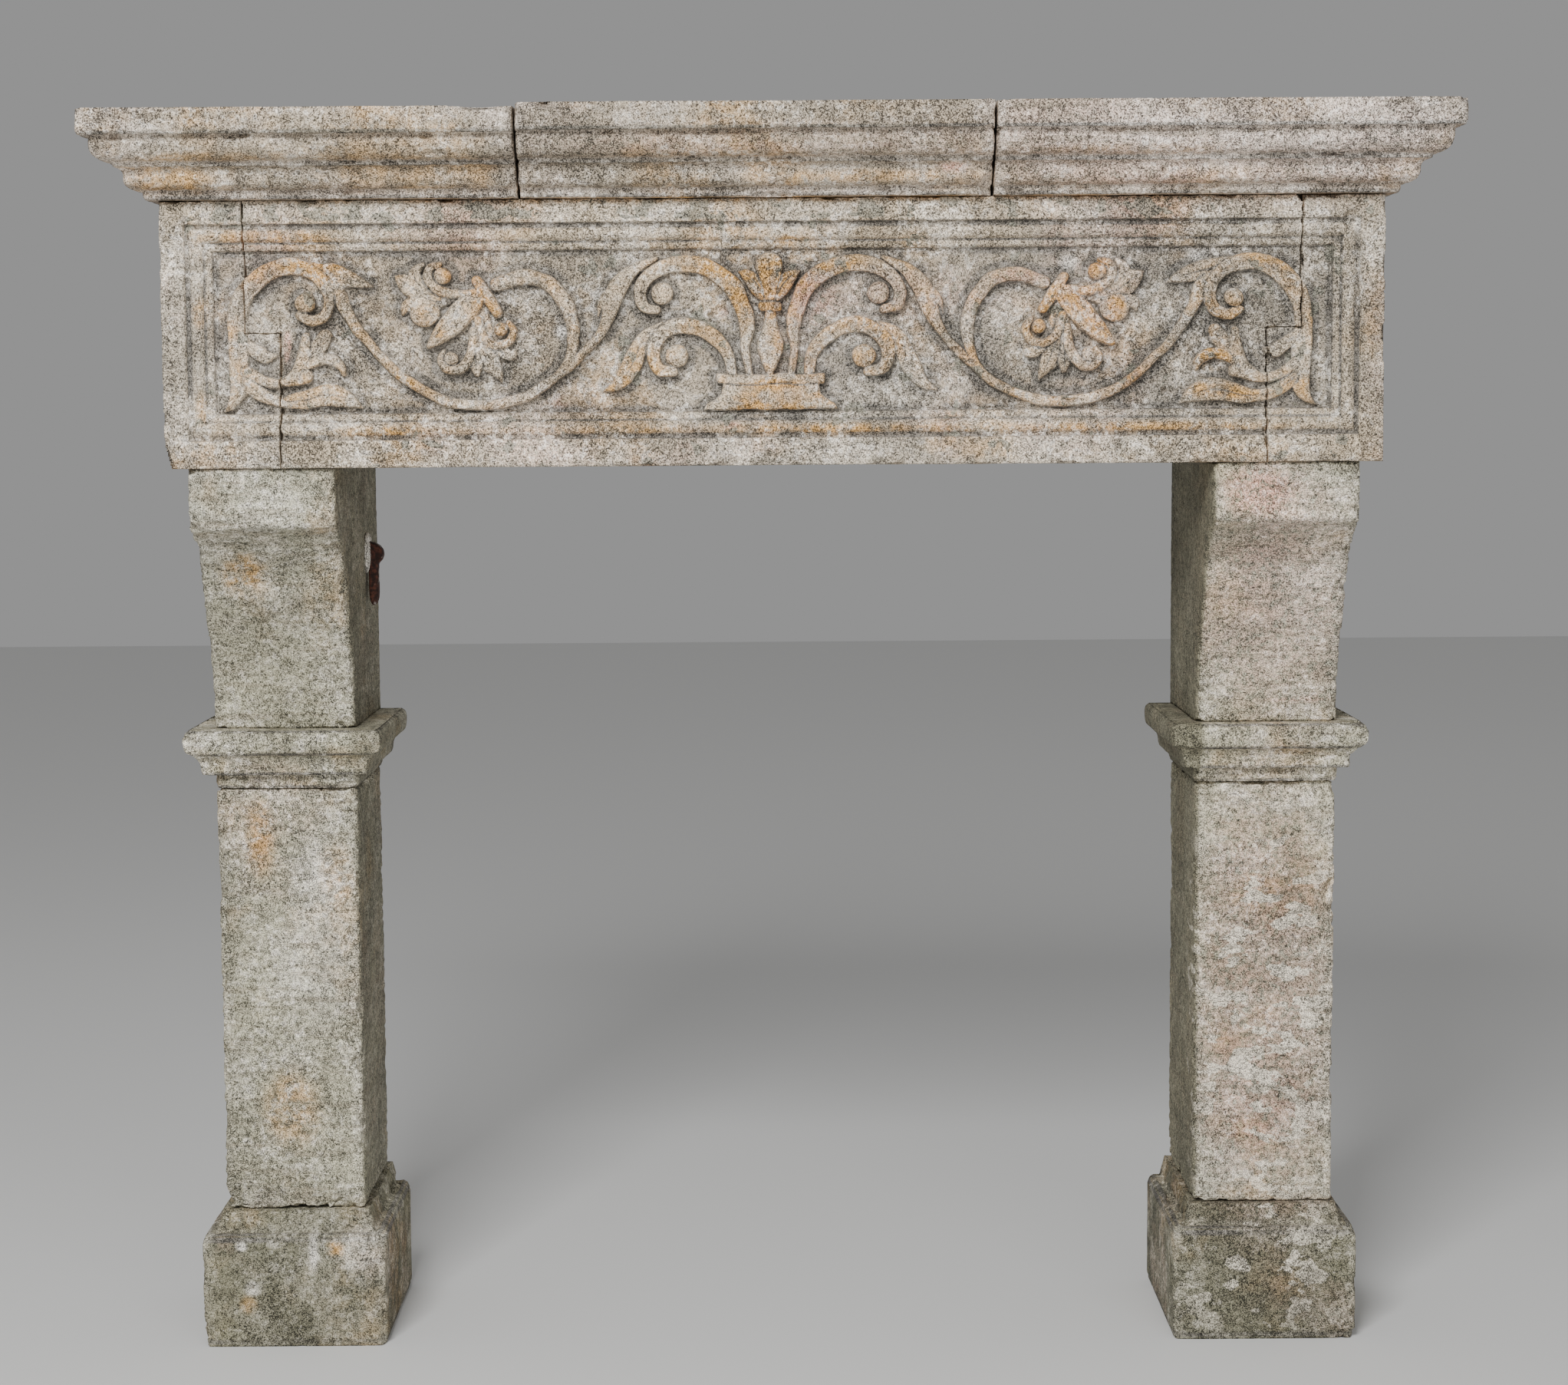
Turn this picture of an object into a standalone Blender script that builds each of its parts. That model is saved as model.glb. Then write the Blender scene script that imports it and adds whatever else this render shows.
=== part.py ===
# A carved stone fireplace mantel: two jambs, a carved frieze and a moulded shelf.
# Metres, +Z up. X runs along the shelf, the front looks towards -Y, and the back plane stands against a wall.
# The origin is the middle of the base of the whole mantel.

import math

import bmesh
import bpy
from mathutils import Vector

# Joints between stones
BED_JOINT = 0.0003  # between stones that lie on each other
FRIEZE_JOINT = 0.0015  # upright joints of the frieze
CORNICE_JOINT = 0.003  # open joints of the shelf

# Jambs
JAMB_SPACING = 1.554  # between the centre lines of the jambs
SHAFT_WIDTH = 0.224
SHAFT_DEPTH = 0.307
SHAFT_HEIGHT = 0.682
SHAFT_ARRIS = 0.005
PLINTH_OVERHANG = 0.035
PLINTH_HEIGHT = 0.184
PLINTH_ARRIS = 0.008
PAD_HEIGHT = 0.032
PAD_TOP_OVERHANG = 0.006
PAD_SLOPE = 0.009
COLLAR_OVERHANG = 0.044
COLLAR_HEIGHT = 0.0956
CONSOLE_PROJECTION = 0.178
CONSOLE_HEIGHT = 0.4139
CONSOLE_BLOCK_HEIGHT = 0.088  # upright face at the top of the console

# Frieze
FRIEZE_END = 0.031  # from the outer face of a console to the end of the frieze
FRIEZE_HEIGHT = 0.4005
FRIEZE_LIP = 0.012  # how far the frieze stands in front of the consoles
LINTEL_THICKNESS = 0.170
SHOULDER_HEIGHT = 0.203  # from the underside of the lintel to the ledges it rests on
LINTEL_WORN_CORNER = 0.018  # lost from its upper right corner
BLOCK_UPPER_WIDTH = 0.125  # end stones, measured to the lintel above and below its shoulders
BLOCK_LOWER_WIDTH = 0.1755
LOST_BLOCK_CORNER_WIDTH = 0.009  # the lower outer corner that the left end stone has lost
LOST_BLOCK_CORNER_HEIGHT = 0.036
BAND_TOP = 0.035  # flat band round the frame
BAND_SIDE = 0.037
BAND_BOTTOM = 0.0415
FRAME_WIDTH = 0.041  # moulding between the band and the sunk field
FIELD_DEPTH = 0.021  # from the face of the band to the field
CARVING_HEIGHT = 0.022  # from the field to the highest part of the carving
CARVING_SHIFT = -0.005  # the carving's axis stands a little left of the middle

# Shelf
CORNICE_OVERHANG = 0.1016
CORNICE_HEIGHT = 0.1335
CORNICE_LEFT_HEIGHT = 0.1290  # the left stone is dressed a little lower
CORNICE_JOINT_LEFT = -0.379
CORNICE_JOINT_RIGHT = 0.3285
CORNICE_ARRIS = 0.006
WORN_EDGE_START = 0.150  # hollow worn into the left stone's top, from the joint to where it begins
WORN_EDGE_DEEPEST = 0.052  # from the joint to its lowest place
WORN_EDGE_DEPTH = 0.007
LOST_CORNER_WIDTH = 0.030  # lower right front corner that the middle stone has lost
LOST_CORNER_HEIGHT = 0.034
LOST_CORNER_DEPTH = 0.060

# Iron hook and its mortar
HOOK_WIDTH = 0.026
HOOK_THICKNESS = 0.015
HOOK_LENGTH = 0.104
HOOK_STANDOFF = 0.005  # from the face of the stone to the hanging part
HOOK_HEAD_PROUD = 0.029  # from the face of the stone to the outside of the round head
HOOK_HEAD_HEIGHT = 0.040
HOOK_TIP = 0.022  # length of the pointed foot
HOOK_TANG = 0.030  # length inside the stone
HOOK_TANG_THICKNESS = 0.010
HOOK_FROM_BACK = 0.144  # from the back plane to the middle of the hook
HOOK_TOP = 0.127  # below the top of the console
MORTAR_BORDER = 0.016  # round the head of the hook
MORTAR_PROUD = 0.010

# The shelf moulding from the top down: kind, step towards the frieze, drop
SHELF_MEMBERS = (
    ("line", 0.0, 39.0),
    ("line", 15.6, 0.5),
    ("line", 0.0, 14.8),
    ("ovolo", 25.6, 23.5),
    ("line", 0.0, 6.1),
    ("cavetto", 16.5, 11.3),
    ("line", 0.0, 9.2),
    ("ovolo", 23.8, 14.8),
    ("line", 0.0, 12.3),
    ("line", 20.1, 0.5),
)
# The collar moulding from the top down, to the same rule
COLLAR_MEMBERS = (
    ("swell", -7.0, 15.0),
    ("ovolo", 7.0, 25.0),
    ("cavetto", 16.0, 26.0),
    ("line", 0.0, 7.0),
    ("line", 17.0, 1.0),
    ("line", 1.0, 21.6),
    ("line", 2.0, 0.5),
)
# The frame moulding from the band inwards: step inwards, depth below the band
FRAME_STEPS = (
    (0.0, 0.0),
    (0.02, 0.30),
    (0.11, 0.40),
    (0.19, 0.30),
    (0.29, 0.15),
    (0.42, 0.11),
    (0.56, 0.20),
    (0.66, 0.42),
    (0.70, 0.52),
    (0.86, 0.60),
    (0.97, 0.72),
    (1.0, 1.0),
)
# The console's curved face below its block: projection and height as shares of their full sizes
CONSOLE_CURVE = (
    (0.84, 0.957),
    (0.70, 0.897),
    (0.50, 0.766),
    (0.43, 0.669),
    (0.30, 0.536),
    (0.17, 0.394),
    (0.056, 0.237),
    (0.0, 0.0),
)

# The carving is drawn on one half of a panel, this many units long and high, and stretched to the field
PANEL_HALF = 842
PANEL_HEIGHT = 242
RELIEF_FOOT = 0.003  # the carving is rooted this far below the field

# Strokes of one half, with the place of each point (from the axis, above the field's foot) and its width,
# and the height of the stroke as a share of the carving's height
STROKES = {
    "upper_scroll": (
        0.80,
        [
            *[(31, 52, 13), (37, 95, 16), (35, 125, 24), (41, 155, 28), (58, 188, 30), (88, 211, 28)],
            *[(122, 221, 27), (155, 218, 25), (182, 203, 23), (197, 180, 21), (192, 158, 20), (174, 152, 17)],
        ],
    ),
    "lower_scroll": (
        0.76,
        [
            *[(58, 52, 18), (62, 80, 20), (78, 105, 24), (103, 122, 25), (133, 129, 26)],
            *[(159, 120, 24), (175, 101, 23), (178, 80, 22), (168, 62, 21), (148, 59, 18)],
        ],
    ),
    "lower_leaf": (
        0.62,
        [(163, 132, 8), (190, 113, 22), (204, 86, 30), (216, 60, 30), (233, 40, 18), (252, 31, 4)],
    ),
    "leaf_tip": (0.62, [(232, 190, 12), (253, 168, 14), (262, 144, 4)]),
    "long_stem": (
        0.66,
        [
            *[(172, 229, 8), (206, 211, 22), (228, 188, 31), (247, 143, 23), (277, 95, 16), (322, 55, 16)],
            *[(380, 21, 18), (440, 11, 19), (505, 22, 18), (560, 55, 18), (608, 104, 17)],
            *[(641, 151, 20), (658, 188, 26), (692, 216, 20)],
        ],
    ),
    "ring_branch": (
        0.70,
        [
            *[(415, 190, 22), (378, 202, 25), (340, 196, 25), (314, 170, 24), (300, 138, 23)],
            *[(299, 105, 20), (308, 75, 16), (330, 48, 12), (362, 26, 8)],
        ],
    ),
    "end_scroll": (
        0.80,
        [
            *[(829, 4, 4), (816, 14, 16), (806, 35, 29), (806, 75, 31), (808, 130, 31), (802, 165, 32)],
            *[(784, 193, 32), (755, 214, 29), (722, 220, 28), (692, 211, 24), (674, 194, 22)],
            *[(667, 171, 21), (673, 150, 20), (692, 139, 19), (711, 147, 17)],
        ],
    ),
    "end_leaf": (0.60, [(702, 222, 14), (666, 209, 33), (642, 202, 29), (620, 196, 19), (601, 190, 4)]),
    "tail_leaf": (
        0.66,
        [
            *[(797, 46, 24), (775, 30, 24), (742, 18, 21), (705, 22, 31)],
            *[(670, 27, 37), (644, 21, 28), (619, 8, 4)],
        ],
    ),
    "calyx": (0.70, [(796, 64, 20), (770, 49, 18), (740, 46, 18), (708, 48, 10)]),
    "blade": (0.62, [(804, 118, 14), (786, 98, 22), (766, 86, 25), (751, 87, 10)]),
    "lost_flower_lobe": (0.80, [(742, 47, 14), (718, 60, 24), (706, 86, 25), (704, 116, 16)]),
    "lost_flower_side": (0.66, [(702, 78, 18), (684, 100, 28), (674, 116, 22)]),
    "lost_flower_hood": (0.72, [(708, 64, 12), (688, 79, 19), (667, 81, 20), (651, 70, 16), (647, 59, 10)]),
    "flower_collar": (0.95, [(442, 203, 12), (428, 181, 18), (411, 158, 13)]),
    "bud": (1.00, [(432, 178, 20), (454, 160, 35), (480, 133, 38), (502, 112, 27), (519, 97, 6)]),
    "crown_curl": (0.82, [(452, 174, 14), (486, 176, 18), (514, 187, 18), (519, 210, 16), (504, 225, 9)]),
    "crown_leaf": (0.62, [(513, 178, 14), (538, 195, 23), (541, 215, 20), (528, 229, 8)]),
    "crown_point": (0.60, [(516, 168, 16), (545, 180, 27), (561, 197, 20), (570, 209, 5)]),
    "crown_hood": (0.72, [(488, 171, 12), (518, 179, 16), (545, 172, 17), (559, 153, 10)]),
    "skirt": (0.56, [(440, 150, 28), (437, 125, 34), (430, 95, 38), (424, 66, 28)]),
    "skirt_curl": (0.78, [(448, 116, 14), (455, 86, 18), (470, 67, 18), (491, 67, 16), (501, 83, 11)]),
    "skirt_petal": (0.72, [(440, 116, 14), (430, 90, 24), (421, 66, 20), (410, 47, 5)]),
    "side_leaf": (0.60, [(440, 102, 14), (418, 86, 15), (390, 90, 7)]),
    "side_curl": (
        0.78, [(442, 131, 14), (428, 110, 14), (410, 101, 14), (391, 108, 14), (388, 129, 12), (402, 141, 7)]
    ),
}
# Round knobs of one half: place, radius and height, to the same rule
KNOBS = {
    "upper_eye": (164, 176, 18, 0.86),
    "lower_eye": (142, 82, 19, 0.86),
    "end_eye": (704, 165, 16, 0.86),
    "crown_ball": (489, 208, 16, 1.00),
    "hood_ball": (525, 154, 20, 0.86),
    "skirt_ball": (484, 88, 13, 0.92),
    "side_ball": (406, 124, 12, 0.90),
    "lost_flower_ball": (705, 56, 12, 0.80),
}
# The vase and the baluster on the axis: height above the field's foot and width
VASE = [(0, 0, 202), (0, 9, 200), (0, 20, 166), (0, 31, 148), (0, 39, 152), (0, 41, 166), (0, 56, 166)]
BALUSTER = [
    *[(0, 50, 5), (0, 66, 20), (0, 98, 40), (0, 125, 31)],
    *[(0, 146, 15), (0, 152, 26), (0, 165, 26), (0, 172, 34)],
]
PALMETTE = {
    "middle_lobe": [(0, 168, 26), (0, 198, 46), (0, 222, 36), (0, 237, 8)],
    "side_lobe": [(7, 170, 18), (22, 190, 28), (36, 203, 20), (46, 209, 5)],
}

# Colours
SHELF_COLOUR = (0.41, 0.39, 0.36)
FRIEZE_COLOUR = (0.38, 0.34, 0.28)
JAMB_COLOUR = (0.34, 0.32, 0.27)
PLINTH_COLOUR = (0.22, 0.21, 0.17)
IRON_COLOUR = (0.07, 0.035, 0.025)
MORTAR_COLOUR = (0.60, 0.58, 0.55)

# Cross-section of a stroke, as shares of its width and height, and the rings of a knob, as shares of its
# radius and height. Below the field they reach down to the carving's foot.
STROKE_SECTION = ((-0.5, None), (-0.38, 0.75), (0, 1.0), (0.38, 0.75), (0.5, None))
KNOB_RINGS = ((1.0, None), (0.82, 0.75), (0.35, 1.0))
FULL_RISE_WIDTH = 13  # strokes narrower than this many units rise less
THIN_RISE = 0.35  # height share of a stroke of no width
MORTAR_RINGS = ((1.0, 0.0), (0.96, 0.5), (0.7, 0.9), (0.35, 1.0))  # shares of its size and of its depth

# Sizes, levels and planes that follow from the sizes above
FRIEZE_WIDTH = JAMB_SPACING + SHAFT_WIDTH + 2 * FRIEZE_END
LINTEL_UPPER_HALF = FRIEZE_WIDTH / 2 - BLOCK_UPPER_WIDTH
LINTEL_LOWER_HALF = FRIEZE_WIDTH / 2 - BLOCK_LOWER_WIDTH
PAD_TOP = PLINTH_HEIGHT + PAD_HEIGHT
SHAFT_TOP = PAD_TOP + SHAFT_HEIGHT
COLLAR_TOP = SHAFT_TOP + COLLAR_HEIGHT
CONSOLE_TOP = COLLAR_TOP + CONSOLE_HEIGHT
FRIEZE_TOP = CONSOLE_TOP + FRIEZE_HEIGHT
FRIEZE_DEPTH = SHAFT_DEPTH + CONSOLE_PROJECTION + FRIEZE_LIP
BACK = (FRIEZE_DEPTH + CORNICE_OVERHANG) / 2
SHAFT_FRONT = BACK - SHAFT_DEPTH
FRIEZE_FRONT = BACK - FRIEZE_DEPTH
LINTEL_BACK = FRIEZE_FRONT + LINTEL_THICKNESS
SHOULDER = CONSOLE_TOP + SHOULDER_HEIGHT
BEYOND = 0.05  # how far a cutter reaches past what it cuts
ARC_STEPS = 3
KNOB_SIDES = 8
STROKE_STEPS = 2  # between two points of a stroke
CURVE_STEPS = 2  # between two points of the console's curve
TIP_STEPS = 6  # round the foot and the head of the hook
MORTAR_SIDES = 12


def clear_scene():
    for obj in list(bpy.data.objects):
        bpy.data.objects.remove(obj)


def material(name, colour, roughness, metallic=0.0):
    made = bpy.data.materials.new(name)
    made.use_nodes = True
    shader = made.node_tree.nodes["Principled BSDF"]
    shader.inputs["Base Color"].default_value = (*colour, 1.0)
    shader.inputs["Roughness"].default_value = roughness
    shader.inputs["Metallic"].default_value = metallic
    return made


def node(name, mesh, finish=None):
    obj = bpy.data.objects.new(name, mesh)
    bpy.context.scene.collection.objects.link(obj)
    if finish:
        mesh.materials.append(finish)
    return obj


def helper(name, mesh, collection=None):
    """An object that only cuts or joins others."""
    obj = bpy.data.objects.new(name, mesh)
    (collection or bpy.context.scene.collection).objects.link(obj)
    obj.hide_render = True
    obj.display_type = "WIRE"
    return obj


def loft(name, rings, round_shape=False):
    """A closed mesh through rings of equally many points, with a cap on each end."""
    form = bmesh.new()
    rows = [[form.verts.new(point) for point in ring] for ring in rings]
    count = len(rows[0])
    for low, high in zip(rows, rows[1:]):
        for i in range(count):
            j = (i + 1) % count
            form.faces.new((low[i], low[j], high[j], high[i]))
    form.faces.new(rows[0])
    form.faces.new(rows[-1])
    bmesh.ops.recalc_face_normals(form, faces=form.faces)
    mesh = bpy.data.meshes.new(name)
    form.to_mesh(mesh)
    form.free()
    if round_shape:
        mesh.shade_smooth()
    return mesh


def boolean(target, other, operation):
    step = target.modifiers.new(f"{operation.lower()} {other.name}", "BOOLEAN")
    step.operation = operation
    step.solver = "EXACT"
    step.object = other


def through_cutter(name, outline, front, back):
    """A prism with a frontal outline of (x, z) points."""
    return helper(name, loft(name, [[(x, y, z) for x, z in outline] for y in (front, back)]))


def moulding(members):
    """The (overhang, drop) points of a moulding, from its top edge to the plane it hangs on."""
    overhang = sum(step for _, step, _ in members)
    drop = 0.0
    points = [(overhang, drop)]
    for kind, step, fall in members:
        if kind == "line":
            points.append((overhang - step, drop + fall))
        else:
            for i in range(1, ARC_STEPS + 1):
                angle = math.pi / 2 * i / ARC_STEPS
                inward, down = 1 - math.cos(angle), math.sin(angle)
                if kind != "ovolo":
                    inward, down = math.sin(angle), 1 - math.cos(angle)
                points.append((overhang - step * inward, drop + fall * down))
        overhang, drop = points[-1]
    return points


def scaled(points, overhang, height):
    """The points stretched to a full overhang and height."""
    widest = max(out for out, _ in points)
    deepest = max(down for _, down in points)
    return [(out * overhang / widest, down * height / deepest) for out, down in points]


def plan(left, right, front, back, z, arris):
    """A plan rectangle whose two front corners are taken off by a small arris."""
    return [
        (left, back, z),
        (left, front + arris, z),
        (left + arris, front, z),
        (right - arris, front, z),
        (right, front + arris, z),
        (right, back, z),
    ]


def jamb_sides():
    return (("left", -JAMB_SPACING / 2), ("right", JAMB_SPACING / 2))


def jamb_ring(centre, overhang, z, arris):
    half = SHAFT_WIDTH / 2 + overhang
    return plan(centre - half, centre + half, SHAFT_FRONT - overhang, BACK, z, arris)


def plinth(side, centre):
    pad_foot = PAD_TOP_OVERHANG + PAD_SLOPE
    rings = [
        jamb_ring(centre, PLINTH_OVERHANG - PLINTH_ARRIS / 2, 0, PLINTH_ARRIS),
        jamb_ring(centre, PLINTH_OVERHANG, PLINTH_ARRIS, PLINTH_ARRIS),
        jamb_ring(centre, PLINTH_OVERHANG, PLINTH_HEIGHT - PLINTH_ARRIS, PLINTH_ARRIS),
        jamb_ring(centre, PLINTH_OVERHANG - PLINTH_ARRIS, PLINTH_HEIGHT, PLINTH_ARRIS),
        jamb_ring(centre, pad_foot, PLINTH_HEIGHT, PLINTH_ARRIS),
        jamb_ring(centre, PAD_TOP_OVERHANG, PAD_TOP, SHAFT_ARRIS),
    ]
    name = f"plinth_{side}"
    return node(name, loft(name, rings), material(f"{name} stone", PLINTH_COLOUR, 0.95))


def shaft(side, centre):
    low, high = PAD_TOP + BED_JOINT, SHAFT_TOP
    rings = [
        jamb_ring(centre, -SHAFT_ARRIS, low, SHAFT_ARRIS),
        jamb_ring(centre, 0, low + SHAFT_ARRIS, SHAFT_ARRIS),
        jamb_ring(centre, 0, high - SHAFT_ARRIS, SHAFT_ARRIS),
        jamb_ring(centre, -SHAFT_ARRIS, high, SHAFT_ARRIS),
    ]
    name = f"shaft_{side}"
    return node(name, loft(name, rings), material(f"{name} stone", JAMB_COLOUR, 0.95))


def collar(side, centre):
    profile = scaled(moulding(COLLAR_MEMBERS), COLLAR_OVERHANG, COLLAR_HEIGHT - BED_JOINT)
    rings = [jamb_ring(centre, out, COLLAR_TOP - down, SHAFT_ARRIS) for out, down in profile]
    name = f"collar_{side}"
    return node(name, loft(name, rings), material(f"{name} stone", JAMB_COLOUR, 0.95))


def console_outline():
    """The side profile, as (y, z), from the top of the back down the front."""
    foot = COLLAR_TOP + BED_JOINT
    curve_height = CONSOLE_TOP - CONSOLE_BLOCK_HEIGHT - foot
    block_foot = foot + curve_height
    front = SHAFT_FRONT - CONSOLE_PROJECTION
    curve = [
        (SHAFT_FRONT - CONSOLE_PROJECTION * share, foot + curve_height * height)
        for share, height in smooth(CONSOLE_CURVE, CURVE_STEPS)
    ]
    return [(BACK, CONSOLE_TOP), (front, CONSOLE_TOP), (front, block_foot), *curve, (BACK, foot)]


def console(side, centre):
    name = f"console_{side}"
    sides = (centre - SHAFT_WIDTH / 2, centre + SHAFT_WIDTH / 2)
    mesh = loft(name, [[(x, y, z) for y, z in console_outline()] for x in sides])
    return node(name, mesh, material(f"{name} stone", JAMB_COLOUR, 0.95))


def smooth(points, steps):
    """A curve through every point, with this many steps between two of them."""
    line = [points[0], *points, points[-1]]
    found = [points[0]]
    for a, b, c, d in zip(line, line[1:], line[2:], line[3:]):
        for i in range(1, steps + 1):
            found.append(tuple(between(*values, i / steps) for values in zip(a, b, c, d)))
    return found


def between(a, b, c, d, t):
    """The Catmull-Rom value a share t of the way from b to c."""
    return (2 * b + (c - a) * t + (2 * a - 5 * b + 4 * c - d) * t**2 + (3 * b - a - 3 * c + d) * t**3) / 2


def field_box():
    """Left, right, foot and top of the sunk field."""
    half = FRIEZE_WIDTH / 2 - BAND_SIDE - FRAME_WIDTH
    return -half, half, CONSOLE_TOP + BAND_BOTTOM + FRAME_WIDTH, FRIEZE_TOP - BAND_TOP - FRAME_WIDTH


def on_field(u, v, side):
    """A place on the panel as (x, z), side being -1 for the left half and 1 for the right."""
    left, right, foot, top = field_box()
    half = (right - left) / 2 - abs(CARVING_SHIFT)
    return CARVING_SHIFT + side * u * half / PANEL_HALF, foot + v * (top - foot) / PANEL_HEIGHT


def units(width):
    _, _, foot, top = field_box()
    return width * (top - foot) / PANEL_HEIGHT


def stroke(name, points, rise, side):
    """A swept band with a rounded back, rooted in the field."""
    path = smooth([(*on_field(u, v, side), units(width)) for u, v, width in points], STROKE_STEPS)
    rings = []
    for i, (x, z, width) in enumerate(path):
        before, after = path[max(i - 1, 0)], path[min(i + 1, len(path) - 1)]
        across = Vector((before[1] - after[1], after[0] - before[0])).normalized() * width
        fullness = min(1.0, THIN_RISE + (1 - THIN_RISE) * width / units(FULL_RISE_WIDTH))
        high = rise * fullness * CARVING_HEIGHT
        rings.append([(x + across.x * a, relief_y(b, high), z + across.y * a) for a, b in STROKE_SECTION])
    return loft(name, rings)


def relief_y(share, high):
    """The y of a point this share of the way up the carving, or at its foot when no share is given."""
    out = -RELIEF_FOOT if share is None else share * high
    return FRIEZE_FRONT + FIELD_DEPTH - out


def knob(name, u, v, radius, rise, side):
    """A low dome rooted in the field."""
    x, z = on_field(u, v, side)
    rings = []
    for share, level in KNOB_RINGS:
        y = relief_y(level, rise * CARVING_HEIGHT)
        reach = units(radius) * share
        rings.append([(x + reach * across, y, z + reach * up) for across, up in circle(KNOB_SIDES)])
    return loft(name, rings)


def circle(sides):
    return [(math.cos(math.tau * i / sides), math.sin(math.tau * i / sides)) for i in range(sides)]


def carving():
    """All the raised ornament, in a collection of helpers."""
    group = bpy.data.collections.new("carving")
    bpy.context.scene.collection.children.link(group)
    for side, word in ((-1, "left"), (1, "right")):
        for name, (rise, points) in STROKES.items():
            helper(f"{name} {word}", stroke(name, points, rise, side), group)
        for name, (u, v, radius, rise) in KNOBS.items():
            helper(f"{name} {word}", knob(name, u, v, radius, rise, side), group)
        helper(f"palmette {word}", stroke("side_lobe", PALMETTE["side_lobe"], 0.8, side), group)
    helper("palmette", stroke("middle_lobe", PALMETTE["middle_lobe"], 0.9, 1), group)
    helper("baluster", stroke("baluster", BALUSTER, 0.9, 1), group)
    helper("vase", stroke("vase", VASE, 0.9, 1), group)
    return group


def frontal(left, right, foot, top, y):
    return [(left, y, foot), (right, y, foot), (right, y, top), (left, y, top)]


def whole_frieze():
    """The carved frieze before it is parted into stones."""
    half = FRIEZE_WIDTH / 2
    foot, top = CONSOLE_TOP + BED_JOINT, FRIEZE_TOP
    rings = [frontal(-half, half, foot, top, y) for y in (BACK, FRIEZE_FRONT)]
    for inward, down in FRAME_STEPS:
        side, low, high = (band + inward * FRAME_WIDTH for band in (BAND_SIDE, BAND_BOTTOM, BAND_TOP))
        y = FRIEZE_FRONT + down * FIELD_DEPTH
        rings.append(frontal(side - half, half - side, CONSOLE_TOP + low, top - high, y))
    whole = helper("whole frieze", loft("whole frieze", rings))
    joined = whole.modifiers.new("carving", "BOOLEAN")
    joined.operation = "UNION"
    joined.solver = "EXACT"
    joined.operand_type = "COLLECTION"
    joined.collection = carving()
    return whole


def lintel(whole):
    """The middle stone, wider above its shoulders, with its top right corner worn away."""
    upper, lower, worn = LINTEL_UPPER_HALF, LINTEL_LOWER_HALF, LINTEL_WORN_CORNER
    outline = [
        (-lower, CONSOLE_TOP - BEYOND),
        (lower, CONSOLE_TOP - BEYOND),
        (lower, SHOULDER),
        (upper, SHOULDER),
        (upper, FRIEZE_TOP - worn),
        (upper - worn, FRIEZE_TOP),
        (upper - worn, FRIEZE_TOP + BEYOND),
        (-upper, FRIEZE_TOP + BEYOND),
        (-upper, SHOULDER),
        (-lower, SHOULDER),
    ]
    front = FRIEZE_FRONT - BEYOND
    mesh = loft("frieze_lintel", [[(x, y, z) for x, z in outline] for y in (front, LINTEL_BACK)])
    stone = node("frieze_lintel", mesh, material("lintel stone", FRIEZE_COLOUR, 0.95))
    boolean(stone, whole, "INTERSECT")


def frieze_block(side, sign, whole):
    """An end stone with the ledge that carries the lintel."""
    upper = LINTEL_UPPER_HALF + FRIEZE_JOINT
    lower = LINTEL_LOWER_HALF + FRIEZE_JOINT
    outer = FRIEZE_WIDTH / 2 + BEYOND
    outline = [
        (sign * outer, CONSOLE_TOP - BEYOND),
        (sign * lower, CONSOLE_TOP - BEYOND),
        (sign * lower, SHOULDER - BED_JOINT),
        (sign * upper, SHOULDER - BED_JOINT),
        (sign * upper, FRIEZE_TOP + BEYOND),
        (sign * outer, FRIEZE_TOP + BEYOND),
    ]
    name = f"frieze_block_{side}"
    mesh = loft(name, [[(x, y, z) for x, z in outline] for y in (FRIEZE_FRONT - BEYOND, BACK + BEYOND)])
    stone = node(name, mesh, material(f"{name} stone", FRIEZE_COLOUR, 0.95))
    boolean(stone, whole, "INTERSECT")
    return stone


def broken_block_corner(stone):
    """The lower outer corner that the left end stone has lost."""
    outer = -FRIEZE_WIDTH / 2
    outline = [
        (outer - BEYOND, CONSOLE_TOP + LOST_BLOCK_CORNER_HEIGHT),
        (outer, CONSOLE_TOP + LOST_BLOCK_CORNER_HEIGHT),
        (outer + LOST_BLOCK_CORNER_WIDTH, CONSOLE_TOP),
        (outer + LOST_BLOCK_CORNER_WIDTH, CONSOLE_TOP - BEYOND),
        (outer - BEYOND, CONSOLE_TOP - BEYOND),
    ]
    cutter = through_cutter("lost block corner", outline, FRIEZE_FRONT - BEYOND, BACK + BEYOND)
    boolean(stone, cutter, "DIFFERENCE")


def cornice_stone(name, left, right, height):
    """A length of the shelf. An end given as None carries the moulding round to the wall."""
    profile = scaled(moulding(SHELF_MEMBERS), CORNICE_OVERHANG, height - BED_JOINT)
    rings = []
    for out, down in profile:
        half = FRIEZE_WIDTH / 2 + out
        low = -half if left is None else left
        high = half if right is None else right
        rings.append(plan(low, high, FRIEZE_FRONT - out, BACK, FRIEZE_TOP + height - down, CORNICE_ARRIS))
    return node(name, loft(name, rings), material(f"{name} stone", SHELF_COLOUR, 0.95))


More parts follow.
